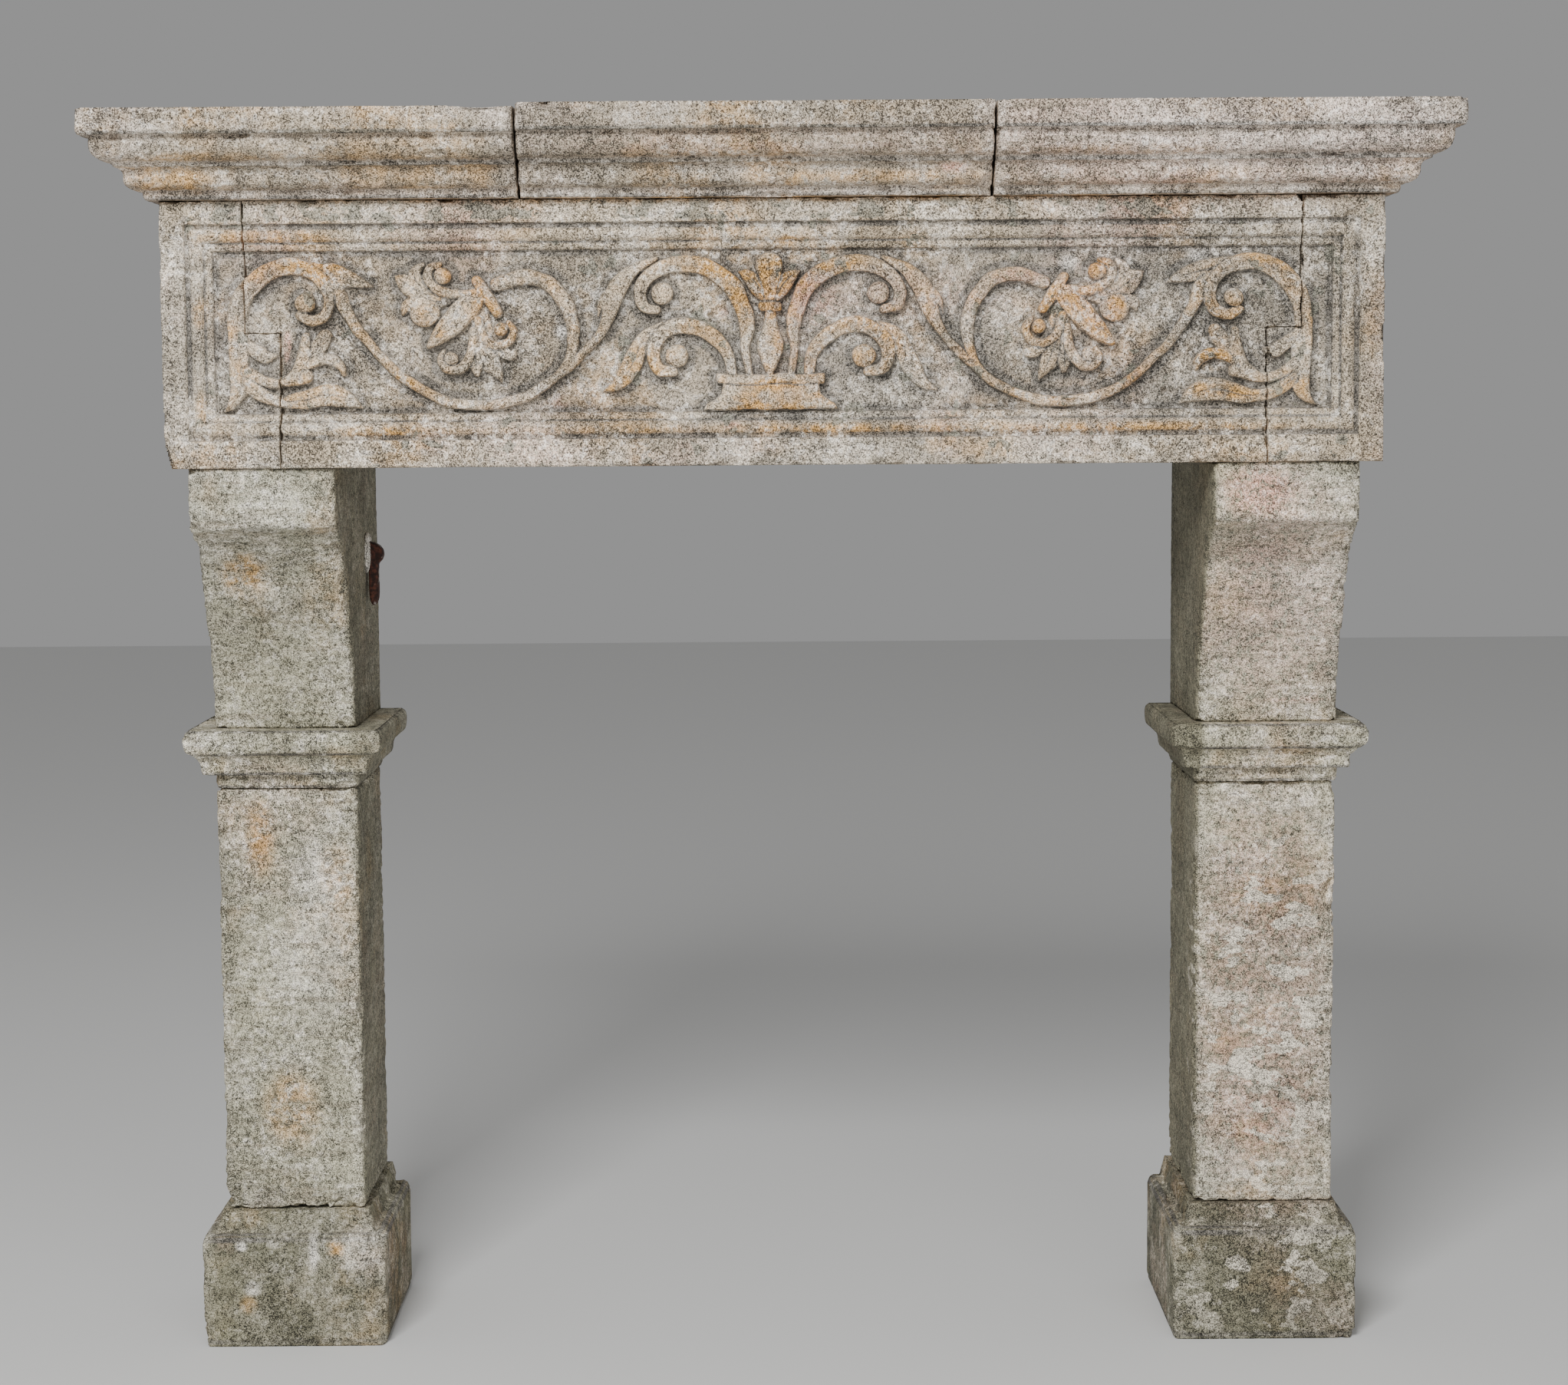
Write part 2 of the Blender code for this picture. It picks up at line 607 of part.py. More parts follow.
def shelf():
    half_joint = CORNICE_JOINT / 2
    left = cornice_stone("cornice_left", None, CORNICE_JOINT_LEFT - half_joint, CORNICE_LEFT_HEIGHT)
    centre = cornice_stone(
        "cornice_centre", CORNICE_JOINT_LEFT + half_joint, CORNICE_JOINT_RIGHT - half_joint, CORNICE_HEIGHT
    )
    cornice_stone("cornice_right", CORNICE_JOINT_RIGHT + half_joint, None, CORNICE_HEIGHT)
    worn_shelf_edge(left)
    broken_shelf_corner(centre)


def worn_shelf_edge(stone):
    """The hollow worn into the top of the left stone beside its joint."""
    top = FRIEZE_TOP + CORNICE_LEFT_HEIGHT
    joint = CORNICE_JOINT_LEFT
    outline = [
        (joint - WORN_EDGE_START, top),
        (joint - WORN_EDGE_DEEPEST, top - WORN_EDGE_DEPTH),
        (joint, top - WORN_EDGE_DEPTH / 2),
        (joint + BEYOND, top - WORN_EDGE_DEPTH / 2),
        (joint + BEYOND, top + BEYOND),
        (joint - WORN_EDGE_START, top + BEYOND),
    ]
    boolean(stone, through_cutter("worn shelf edge", outline, -BACK - BEYOND, FRIEZE_FRONT), "DIFFERENCE")


def broken_shelf_corner(stone):
    """The lower right corner that the middle stone has lost at its front."""
    joint = CORNICE_JOINT_RIGHT
    outline = [
        (joint - LOST_CORNER_WIDTH, FRIEZE_TOP - BEYOND),
        (joint - LOST_CORNER_WIDTH, FRIEZE_TOP),
        (joint - LOST_CORNER_WIDTH / 3, FRIEZE_TOP + LOST_CORNER_HEIGHT / 2),
        (joint, FRIEZE_TOP + LOST_CORNER_HEIGHT),
        (joint + BEYOND, FRIEZE_TOP + LOST_CORNER_HEIGHT),
        (joint + BEYOND, FRIEZE_TOP - BEYOND),
    ]
    cutter = through_cutter("lost shelf corner", outline, -BACK - BEYOND, FRIEZE_FRONT + LOST_CORNER_DEPTH)
    boolean(stone, cutter, "DIFFERENCE")


def box(name, low, high):
    (x0, y0, z0), (x1, y1, z1) = low, high
    return loft(name, [plan_square(x0, x1, y0, y1, z) for z in (z0, z1)])


def plan_square(x0, x1, y0, y1, z):
    return [(x0, y0, z), (x1, y0, z), (x1, y1, z), (x0, y1, z)]


def hook_place():
    """The inner face of the left console, the middle of the hook along the wall side and its top."""
    return SHAFT_WIDTH / 2 - JAMB_SPACING / 2, BACK - HOOK_FROM_BACK, CONSOLE_TOP - HOOK_TOP


def hook_tang(name, reach, clear):
    """A block along the tang of the hook, between two reaches from the face, wider by the clearance."""
    face, middle, top = hook_place()
    half = HOOK_WIDTH / 2 + clear
    tang = top - HOOK_HEAD_HEIGHT / 2
    low = (face - reach[0], middle - half, tang - HOOK_TANG_THICKNESS / 2 - clear)
    high = (face + reach[1], middle + half, tang + HOOK_TANG_THICKNESS / 2 + clear)
    return box(name, low, high)


def iron_hook(stone):
    """A flat iron let into the stone, with a round head and a hanging part that ends in a point."""
    socket = hook_tang("hook socket", (HOOK_TANG + BED_JOINT, BEYOND), BED_JOINT)
    boolean(stone, helper("hook socket", socket), "DIFFERENCE")
    face, middle, top = hook_place()
    half = HOOK_WIDTH / 2
    inner = face + HOOK_STANDOFF
    tang = top - HOOK_HEAD_HEIGHT / 2
    round_x, round_z = HOOK_HEAD_PROUD - HOOK_STANDOFF, HOOK_HEAD_HEIGHT / 2
    lowest = math.acos(HOOK_THICKNESS / round_x)
    turns = [math.pi / 2 - (math.pi / 2 + lowest) * i / TIP_STEPS for i in range(TIP_STEPS + 1)]
    head = [(inner + round_x * math.cos(a), tang + round_z * math.sin(a)) for a in turns]
    foot = top - HOOK_LENGTH + HOOK_TIP
    turns = [math.pi * i / TIP_STEPS for i in range(TIP_STEPS + 1)]
    across = HOOK_THICKNESS / 2
    tip = [(inner + across + across * math.cos(a), foot - HOOK_TIP * math.sin(a)) for a in turns]
    outline = [
        (inner, tang - HOOK_TANG_THICKNESS / 2),
        (face - HOOK_TANG, tang - HOOK_TANG_THICKNESS / 2),
        (face - HOOK_TANG, tang + HOOK_TANG_THICKNESS / 2),
        (inner, tang + HOOK_TANG_THICKNESS / 2),
        *head,
        *tip,
    ]
    mesh = loft("iron_hook", [[(x, y, z) for x, z in outline] for y in (middle - half, middle + half)])
    node("iron_hook", mesh, material("rusted iron", IRON_COLOUR, 0.85, 0.6))


def hook_mortar():
    """The mortar on the stone over and beside the head of the hook."""
    face, middle, top = hook_place()
    half = HOOK_WIDTH / 2
    tang = top - HOOK_HEAD_HEIGHT / 2
    wide, tall = half + MORTAR_BORDER, HOOK_HEAD_HEIGHT / 2 + MORTAR_BORDER
    rings = []
    for share, out in MORTAR_RINGS:
        x = face + BED_JOINT + out * (MORTAR_PROUD - BED_JOINT)
        across, up = share * wide, share * tall
        rings.append([(x, middle + across * a, tang + up * b) for a, b in circle(MORTAR_SIDES)])
    mesh = loft("hook_mortar", rings, round_shape=True)
    dab = node("hook_mortar", mesh, material("lime mortar", MORTAR_COLOUR, 0.9))
    low = (face - BEYOND, middle - half - BED_JOINT, top - HOOK_LENGTH)
    high = (face + BEYOND, middle + half + BED_JOINT, top + BED_JOINT)
    boolean(dab, helper("mortar slot", box("mortar slot", low, high)), "DIFFERENCE")


def main():
    clear_scene()
    consoles = {}
    for side, centre in jamb_sides():
        plinth(side, centre)
        shaft(side, centre)
        collar(side, centre)
        consoles[side] = console(side, centre)
    whole = whole_frieze()
    lintel(whole)
    broken_block_corner(frieze_block("left", -1, whole))
    frieze_block("right", 1, whole)
    shelf()
    iron_hook(consoles["left"])
    hook_mortar()


main()
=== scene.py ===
import math

import bpy
import numpy as np
from mathutils import Matrix, Vector


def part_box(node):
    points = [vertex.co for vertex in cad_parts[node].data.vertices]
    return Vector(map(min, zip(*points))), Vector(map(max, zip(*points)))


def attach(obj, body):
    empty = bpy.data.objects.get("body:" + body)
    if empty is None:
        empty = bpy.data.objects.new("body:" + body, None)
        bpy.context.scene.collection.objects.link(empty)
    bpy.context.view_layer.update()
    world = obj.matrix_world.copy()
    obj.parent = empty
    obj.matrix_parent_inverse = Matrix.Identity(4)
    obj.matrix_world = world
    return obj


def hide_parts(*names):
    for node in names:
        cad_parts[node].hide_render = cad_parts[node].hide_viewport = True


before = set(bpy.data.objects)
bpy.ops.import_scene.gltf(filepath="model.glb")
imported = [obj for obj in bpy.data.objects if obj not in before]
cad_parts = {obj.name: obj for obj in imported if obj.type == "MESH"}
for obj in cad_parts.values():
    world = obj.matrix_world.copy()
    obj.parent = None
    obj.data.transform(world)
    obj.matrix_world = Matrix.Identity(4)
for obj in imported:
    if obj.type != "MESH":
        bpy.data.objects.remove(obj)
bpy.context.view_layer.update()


# Where things stand, all read from the frame

lintelLow, lintelHigh = (np.array(c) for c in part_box("frieze_lintel"))
blockLow = np.array(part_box("frieze_block_left")[0])
rightLow, rightHigh = (np.array(c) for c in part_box("frieze_block_right"))


# Expressions for shader and geometry trees

class Wire:
    # One output socket. Sums and products of wires and numbers become Math nodes.
    def __init__(self, kit, socket):
        self.kit, self.socket = kit, socket

    def math(self, operation, *others):
        return self.kit.add("ShaderNodeMath", {"operation": operation}, dict(enumerate((self, *others))))

    def __add__(self, other):
        return self.math("ADD", other)

    def __radd__(self, other):
        return self.math("ADD", other)

    def __sub__(self, other):
        return self.math("SUBTRACT", other)

    def __rsub__(self, other):
        return self.kit.number(other).math("SUBTRACT", self)

    def __mul__(self, other):
        return self.math("MULTIPLY", other)

    def __rmul__(self, other):
        return self.math("MULTIPLY", other)

    def __truediv__(self, other):
        return self.math("DIVIDE", other)

    def __pow__(self, other):
        return self.math("POWER", other)

    def least(self, other):
        return self.math("MINIMUM", other)

    def most(self, other):
        return self.math("MAXIMUM", other)

    def between(self, low, high):
        # 0 below low, 1 above high, smooth in between
        return self.kit.add("ShaderNodeMapRange", {"interpolation_type": "SMOOTHSTEP"},
                            {"Value": self, "From Min": low, "From Max": high})


class Kit:
    # Adds nodes to one tree.
    def __init__(self, tree):
        self.tree = tree

    def add(self, kind, settings=None, inputs=None, output=0):
        node = self.tree.nodes.new(kind)
        for name, value in (settings or {}).items():
            setattr(node, name, value)
        for name, value in (inputs or {}).items():
            socket = node.inputs[name]
            if isinstance(value, Wire):
                self.tree.links.new(value.socket, socket)
            else:
                socket.default_value = value
        return Wire(self, node.outputs[output])

    def number(self, value):
        return self.add("ShaderNodeMath", {"operation": "ADD"}, {0: value, 1: 0.0})

    def blend(self, factor, first, second, way="MIX"):
        # A mix of two colours
        first, second = (c if isinstance(c, Wire) else (*c, 1.0) for c in (first, second))
        settings = {"data_type": "RGBA", "blend_type": way}
        return self.add("ShaderNodeMix", settings, {0: factor, 6: first, 7: second}, 2)

    def split(self, vector):
        # The three numbers of a vector
        node = self.add("ShaderNodeSeparateXYZ", {}, {"Vector": vector}).socket.node
        return [Wire(self, socket) for socket in node.outputs]


def noiseOn(kit, place):
    # A function that adds noise of a given scale on these coordinates
    def noise(scale, detail=2.0, rough=0.5, stretch=(1, 1, 1)):
        where = kit.add("ShaderNodeVectorMath", {"operation": "MULTIPLY"}, {0: place, 1: stretch})
        sizes = {"Vector": where, "Scale": scale, "Detail": detail, "Roughness": rough}
        return kit.add("ShaderNodeTexNoise", {}, sizes)

    return noise


# Stone surfaces

def newMaterial(name):
    made = bpy.data.materials.new(name)
    made.use_nodes = True
    return made, made.node_tree.nodes["Principled BSDF"], Kit(made.node_tree)


def stoneMaterial(name, look):
    made, shader, kit = newMaterial(name)
    tree = made.node_tree
    place = kit.add("ShaderNodeTexCoord", output=3)
    level = kit.split(place)[2]
    noise = noiseOn(kit, kit.add("ShaderNodeMapping", {}, {"Vector": place, "Location": look["shift"]}))

    def mark(label):
        return kit.add("ShaderNodeAttribute", {"attribute_name": label}, output=2)

    relief, shadeAndDirt, worn, soot = (mark(label) for label in ("relief", "shadeAndDirt", "worn", "soot"))
    broad, patches = noise(2.5, 3.0), noise(13.0, 4.0, 0.6)
    mottle, bloom = noise(42.0, 4.0, 0.65), noise(95.0, 3.0, 0.65)
    speck, grain, sand = noise(170.0, 2.0, 0.6), noise(330.0, 1.0), noise(650.0, 1.0)
    beds, clouds = noise(9.0, 4.0, 0.6, look["bedding"]), noise(6.5, 4.0, 0.6)

    # Broad colour: two stone tones, paler washes, darker beds
    colour = kit.blend(broad.between(0.40, 0.60), look["base"], look["base2"])
    colour = kit.blend(patches.between(0.45, 0.65) * look["patchy"], colour, look["pale"])
    colour = kit.blend(beds.between(0.48, 0.68) * look["banded"], colour, look["dark"])

    # Painted highlight on what stands proud; stains: ochre on what stands proud, rose where the marks say;
    # painted shade, partly dirt, darkening recesses and creases
    # Painted highlight: what stands proud is made paler
    colour = kit.blend((relief * look["reliefHighlight"]).least(0.8), colour, look["pale"])
    onRelief = relief * look["ochreOnRelief"] * (noise(10.0, 3.0, 0.6).between(0.40, 0.62) + 0.25)
    ochre = noise(6.0, 4.0, 0.6).between(0.48, 0.66) * look["ochre"] + mark("ochre") + onRelief
    ochre = ochre * (mottle.between(0.36, 0.56) * 0.75 + 0.25)
    colour = kit.blend(ochre.least(0.92), colour, look["ochreColour"])
    rose = (noise(5.0, 3.0).between(0.50, 0.72) * look["rose"] + mark("rose")) * bloom.between(0.3, 0.6)
    colour = kit.blend(rose.least(0.9), colour, look["roseColour"])
    # Painted shade, partly dirt: recesses and creases are darkened
    grey = shadeAndDirt.between(0.02, 0.6) * look["shadeAndDirtStrength"] * (patches.between(0.36, 0.62) * -0.7 + 1.3)
    colour = kit.blend(grey.least(0.85), colour, look["shadeAndDirtColour"])

    # Growth and dirt: white bloom, black crust, smooth dark film
    white = bloom.between(0.50, 0.64) * patches.between(0.38, 0.58) * look["white"]
    colour = kit.blend(white.least(0.9), colour, look["whiteColour"])
    black = (speck * 0.55 + bloom * 0.45).between(0.50, 0.60) * noise(17.0, 3.0, 0.6).between(0.40, 0.60)
    colour = kit.blend((black * look["black"]).least(0.85), colour, look["blackColour"])
    filmBand = (level - look["filmLevel"]).math("ABSOLUTE").between(*look["filmReach"])
    film = (noise(24.0, 3.0, 0.5) + filmBand * 0.095 + mark("film") * 0.07).between(0.65, 0.665)
    film = film * look["film"]
    colour = kit.blend(film, colour, look["filmColour"])
    spots = noise(58.0, 3.0, 0.6).between(0.69, 0.73) * look["spots"]
    colour = kit.blend(spots, colour, look["whiteColour"])
    colour = kit.blend((worn * look["wornPale"]).least(0.7), colour, look["pale"])

    colour = kit.blend((mark("pale") * (bloom + 0.3)).least(0.85), colour, look["whiteColour"])
    # Painted shade on the jambs' faces towards the opening, and darker patches where listed
    colour = kit.blend((soot * (0.7 + patches * 0.6)).least(0.9), colour, look["shadeAndDarkeningColour"])

    flakes = noise(24.0, 3.0, 0.5, (0.8, 0.8, 1.4)).between(0.572, 0.584) * mark("flaky")
    colour = kit.blend((flakes * 0.85).least(0.85), colour, look["flakeColour"])
    streaks = noise(70.0, 3.0, 0.6, (0.12, 0.12, 1.5)).between(0.54, 0.62) * look["streaks"]
    colour = kit.blend(streaks.least(0.6), colour, look["dark"])

    # Salt and pepper, from fine sand to patches of a few centimetres
    value = 1.0
    patterns = {"sand": sand, "grain": grain, "speck": speck, "bloom": bloom, "mottle": mottle,
                "clouds": clouds}
    for share, pattern in patterns.items():
        value = (pattern.between(0.40, 0.60) - 0.5) * look[share] + value
    value = value.most(0.15)
    value = kit.add("ShaderNodeCombineColor", {}, {"Red": value, "Green": value, "Blue": value})
    colour = kit.blend(1.0, colour, value, "MULTIPLY")
    tree.links.new(colour.socket, shader.inputs["Base Color"])

    rough = 0.88 + (patches - 0.5) * 0.2 - film * 0.2
    tree.links.new(rough.socket, shader.inputs["Roughness"])
    height = grain * 0.3 + speck * 0.5 + bloom * 0.6 + mottle * 0.9 + spots * 0.3
    bump = kit.add("ShaderNodeBump", {}, {"Strength": look["bump"], "Distance": 0.0025, "Height": height})
    tree.links.new(bump.socket, shader.inputs["Normal"])
    shader.inputs["Specular IOR Level"].default_value = 0.25
    return made


# Among these: the colour and strength of painted shade, partly dirt, in recesses and creases; the colour of
# painted shade and darker patches; the strength of a painted highlight on the relief
commonLook = {
    "shift": (0, 0, 0), "bedding": (0.4, 0.4, 5.0), "banded": 0.20, "patchy": 0.55, "ochre": 0.30,
    "ochreOnRelief": 0.5, "ochreColour": (0.52, 0.275, 0.065), "rose": 0.20, "roseColour": (0.52, 0.26, 0.18),
    "reliefHighlight": 0.0, "shadeAndDirtStrength": 0.9, "shadeAndDirtColour": (0.12, 0.112, 0.10), "film": 0.0,
    "filmLevel": 1.792, "filmReach": (0.017, 0.012), "filmColour": (0.17, 0.165, 0.13),
    "black": 0.5, "blackColour": (0.10, 0.095, 0.085), "white": 0.55,
    "whiteColour": (0.70, 0.66, 0.60), "spots": 0.0, "wornPale": 0.3, "shadeAndDarkeningColour": (0.15, 0.14, 0.095),
    "flakeColour": (0.62, 0.57, 0.47), "streaks": 0.2, "sand": 1.3, "grain": 0.6, "speck": 0.45,
    "bloom": 0.35, "mottle": 0.3, "clouds": 0.3, "bump": 0.8, "dark": (0.20, 0.17, 0.12),
}
stoneLooks = {
    "shelf": {"base": (0.375, 0.305, 0.225), "base2": (0.325, 0.275, 0.215), "pale": (0.56, 0.49, 0.42),
              "ochre": 0.5, "streaks": 0.35, "wornPale": 0.5, "clouds": 0.45},
    "frieze": {"base": (0.385, 0.315, 0.225), "base2": (0.33, 0.29, 0.23), "pale": (0.505, 0.445, 0.362),
               "ochre": 0.45, "ochreOnRelief": 0.85, "film": 0.8, "rose": 0.35, "patchy": 0.8, "grain": 0.8,
               "ochreColour": (0.48, 0.26, 0.07), "reliefHighlight": 0.45, "wornPale": 0.4, "clouds": 0.4},
    "jamb": {"base": (0.37, 0.35, 0.255), "base2": (0.325, 0.315, 0.25), "pale": (0.52, 0.49, 0.41),
             "banded": 0.4, "bedding": (0.5, 0.5, 9.0), "ochre": 0.35, "white": 0.5, "black": 0.15,
             "streaks": 0.4, "grain": 0.5},
    "plinth": {"base": (0.175, 0.165, 0.105), "base2": (0.145, 0.14, 0.098), "pale": (0.33, 0.31, 0.245),
               "dark": (0.11, 0.10, 0.065), "ochre": 0.2, "spots": 0.8, "white": 0.25, "black": 0.15,
               "wornPale": 0.45, "grain": 0.5, "clouds": 0.4},
}

mortarLook = {"base": (0.55, 0.52, 0.47), "base2": (0.34, 0.30, 0.25), "pale": (0.56, 0.50, 0.42),
              "black": 0.3, "ochre": 0.0}


# Shapes

def placed(obj):
    bpy.context.scene.collection.objects.link(obj)
    return obj


def meshFrom(name, points, faces, marks=None):
    mesh = bpy.data.meshes.new(name)
    mesh.from_pydata(points.tolist(), [], faces)
    for label, values in (marks or {}).items():
        values = np.ascontiguousarray(values, np.float32)
        mesh.attributes.new(label, "FLOAT", "POINT").data.foreach_set("value", values)
    mesh.shade_smooth()
    return placed(bpy.data.objects.new(name, mesh))


def curveThrough(points, spacing):
    # A Catmull-Rom curve through rows of numbers, sampled about every spacing along its first two columns
    points = np.asarray(points, float)
    line = np.vstack([points[0], points, points[-1]])
    rows = [points[:1]]
    for a, b, c, d in zip(line, line[1:], line[2:], line[3:]):
        steps = max(2, int(np.hypot(*(c - b)[:2]) / spacing))
        t = (np.arange(1, steps + 1) / steps)[:, None]
        bend, twist = 2 * a - 5 * b + 4 * c - d, 3 * b - a - 3 * c + d
        rows.append((2 * b + (c - a) * t + bend * t**2 + twist * t**3) / 2)
    return np.vstack(rows)


# The weathering that every stone gets, as one geometry tree

class StoneTree:
    # A geometry tree with named inputs that ends in Realize Instances and Set Material
    def __init__(self, name, sizes, vectors=()):
        self.tree = bpy.data.node_groups.new(name, "GeometryNodeTree")
        self.socket("Geometry", "Geometry", "OUTPUT")
        self.socket("Geometry", "Geometry")
        for label in sizes:
            self.socket(label, "Float")
        for label in vectors:
            self.socket(label, "Vector")
        self.socket("Finish", "Material")
        self.kit = Kit(self.tree)
        entry = self.tree.nodes.new("NodeGroupInput")
        self.given = {socket.name: Wire(self.kit, socket) for socket in entry.outputs if socket.name}

    def socket(self, label, kind, way="INPUT"):
        self.tree.interface.new_socket(label, in_out=way, socket_type="NodeSocket" + kind)

    def vector(self, operation, first, *others):
        operands = dict(enumerate((first, *others)))
        return self.kit.add("ShaderNodeVectorMath", {"operation": operation}, operands)

    def close(self, shape):
        leave = self.tree.nodes.new("NodeGroupOutput")
        shape = self.kit.add("GeometryNodeRealizeInstances", {}, {"Geometry": shape})
        finish = {"Geometry": shape, "Material": self.given["Finish"]}
        shape = self.kit.add("GeometryNodeSetMaterial", {}, finish)
        self.tree.links.new(shape.socket, leave.inputs[0])
        return self.tree


def weatherTree():
    made = StoneTree("weatheredStone", ("Unevenness", "Pitting", "Chips", "Tooling", "Tool Spacing", "Seed"))
    kit, given = made.kit, made.given
    place = kit.add("GeometryNodeInputPosition")
    normal = kit.add("GeometryNodeInputNormal")
    shift = {"X": given["Seed"] * 3.7, "Y": given["Seed"] * 1.9, "Z": given["Seed"]}
    place = made.vector("ADD", place, kit.add("ShaderNodeCombineXYZ", {}, shift))
    noise = noiseOn(kit, place)
    swell = (noise(9.0, 3.0) - 0.5) * 2.0 + (noise(45.0, 3.0) - 0.5) * 0.9
    pits = noise(70.0, 3.0, 0.6).between(0.60, 0.74) * noise(8.0, 2.0).between(0.35, 0.6)
    worn = kit.add("GeometryNodeInputNamedAttribute", {"data_type": "FLOAT"}, {"Name": "worn"})
    flakes = noise(15.0, 4.0, 0.6).between(0.55, 0.63) + noise(38.0, 3.0).between(0.54, 0.64) * 0.55
    chips = worn * (flakes + noise(80.0, 2.0).between(0.5, 0.7) * 0.2 + 0.08)
    wander = (noise(6.0, 2.0, 0.5, (1, 1, 0.4)) - 0.5) * 0.05
    rows = ((kit.split(place)[2] + wander) / given["Tool Spacing"] * math.tau).math("SINE")
    rows = rows * noise(30.0, 2.0).between(0.40, 0.62)
    depth = swell * given["Unevenness"] + rows * given["Tooling"]
    depth = depth - pits * given["Pitting"] - chips * given["Chips"]
    move = kit.add("ShaderNodeVectorMath", {"operation": "SCALE"}, {0: normal, "Scale": depth})
    return made.close(kit.add("GeometryNodeSetPosition", {}, {"Geometry": given["Geometry"], "Offset": move}))


def dressedTree():
    # A squared block: a fine box whose arrises are rounded and marked as worn
    made = StoneTree("dressedBlock", ("Arris", "Spacing", "Worn Reach"), ("Size", "Middle"))
    kit, given = made.kit, made.given
    counts = kit.split(made.vector("DIVIDE", given["Size"], given["Spacing"]))
    sides = {"Vertices " + axis: count for axis, count in zip("XYZ", counts)}
    box = kit.add("GeometryNodeMeshCube", {}, {"Size": given["Size"], **sides})
    place = kit.add("GeometryNodeInputPosition")
    half = made.vector("MULTIPLY", given["Size"], (0.5, 0.5, 0.5))
    x, y, z = kit.split(made.vector("SUBTRACT", half, made.vector("ABSOLUTE", place)))
    arrisDistance = x + y + z - x.most(y).most(z)
    worn = kit.number(math.exp(-1)) ** ((arrisDistance / given["Worn Reach"]) ** 2.0)
    marked = kit.add("GeometryNodeStoreNamedAttribute", {"data_type": "FLOAT", "domain": "POINT"},
                     {"Geometry": box, "Name": "worn", "Value": worn})
    core = made.vector("SUBTRACT", half, given["Arris"])
    inner = made.vector("MAXIMUM", place, made.vector("MULTIPLY", core, (-1, -1, -1)))
    inner = made.vector("MINIMUM", inner, core)
    outward = made.vector("NORMALIZE", made.vector("SUBTRACT", place, inner))
    skin = made.vector("ADD", inner, made.vector("MULTIPLY", outward, given["Arris"]))
    skin = made.vector("ADD", skin, given["Middle"])
    return made.close(kit.add("GeometryNodeSetPosition", {}, {"Geometry": marked, "Position": skin}))


def throughTree(obj, tree, finish, amounts):
    # The object as one of the trees makes it, its inputs set by their identifiers
    modifier = obj.modifiers.new(tree.name, "NODES")
    modifier.node_group = tree
    sockets = {item.name: item.identifier for item in tree.interface.items_tree if item.in_out == "INPUT"}
    for label, value in amounts.items():
        modifier[sockets[label]] = value
    modifier[sockets["Finish"]] = finish
    return plain(obj)


def plain(obj):
    # The evaluated object as a plain mesh
    obj.data.update()
    graph = bpy.context.evaluated_depsgraph_get()
    ready = obj.evaluated_get(graph)
    mesh = bpy.data.meshes.new_from_object(ready, preserve_all_data_layers=True, depsgraph=graph)
    obj.modifiers.clear()
    obj.data = mesh
    return obj


def thinned(obj, most):
    triangles = sum(len(p.vertices) - 2 for p in obj.data.polygons)
    if triangles > most:
        modifier = obj.modifiers.new("thin", "DECIMATE")
        modifier.ratio = most / triangles
        plain(obj)
    return obj


def coordinates(obj):
    points = np.empty(len(obj.data.vertices) * 3, np.float32)
    obj.data.vertices.foreach_get("co", points)
    return points.reshape(-1, 3).astype(float)


def markOf(obj, label):
    # The values of a mark, zeros where the mesh has none yet
    values = np.zeros(len(obj.data.vertices), np.float32)
    if label in obj.data.attributes:
        obj.data.attributes[label].data.foreach_get("value", values)
    else:
        obj.data.attributes.new(label, "FLOAT", "POINT")
    return values


def scooped(obj, scoops):
    # Breaks: what lies inside an ellipsoid is pressed back to its skin
    points = coordinates(obj)
    worn = markOf(obj, "worn")
    for row in scoops:
        x, z, wide, tall, depth = (v / 1000 for v in row)
        u, w = (points[:, 0] - x) / wide, (points[:, 2] - z) / tall
        u, w = u + 0.15 * np.sin(5.1 * w + 700 * x), w + 0.15 * np.sin(4.3 * u + 900 * z)
        flat = u**2 + w**2
        if flat.min() > 1:
            continue
        deep = max(2 * depth, 0.010)
        middle = points[flat < flat.min() + 0.15, 1].min() + depth - deep
        v = (points[:, 1] - middle) / deep
        far = np.sqrt(u**2 + v**2 + w**2)
        hit = far < 1
        push = 1 / np.maximum(far[hit], 0.2) - 1
        points[hit] += np.column_stack([u[hit] * wide, v[hit] * deep, w[hit] * tall]) * push[:, None]
        worn[hit] += 0.5
    obj.data.vertices.foreach_set("co", points.astype(np.float32).ravel())
    obj.data.attributes["worn"].data.foreach_set("value", worn)
    obj.data.update()
    return obj


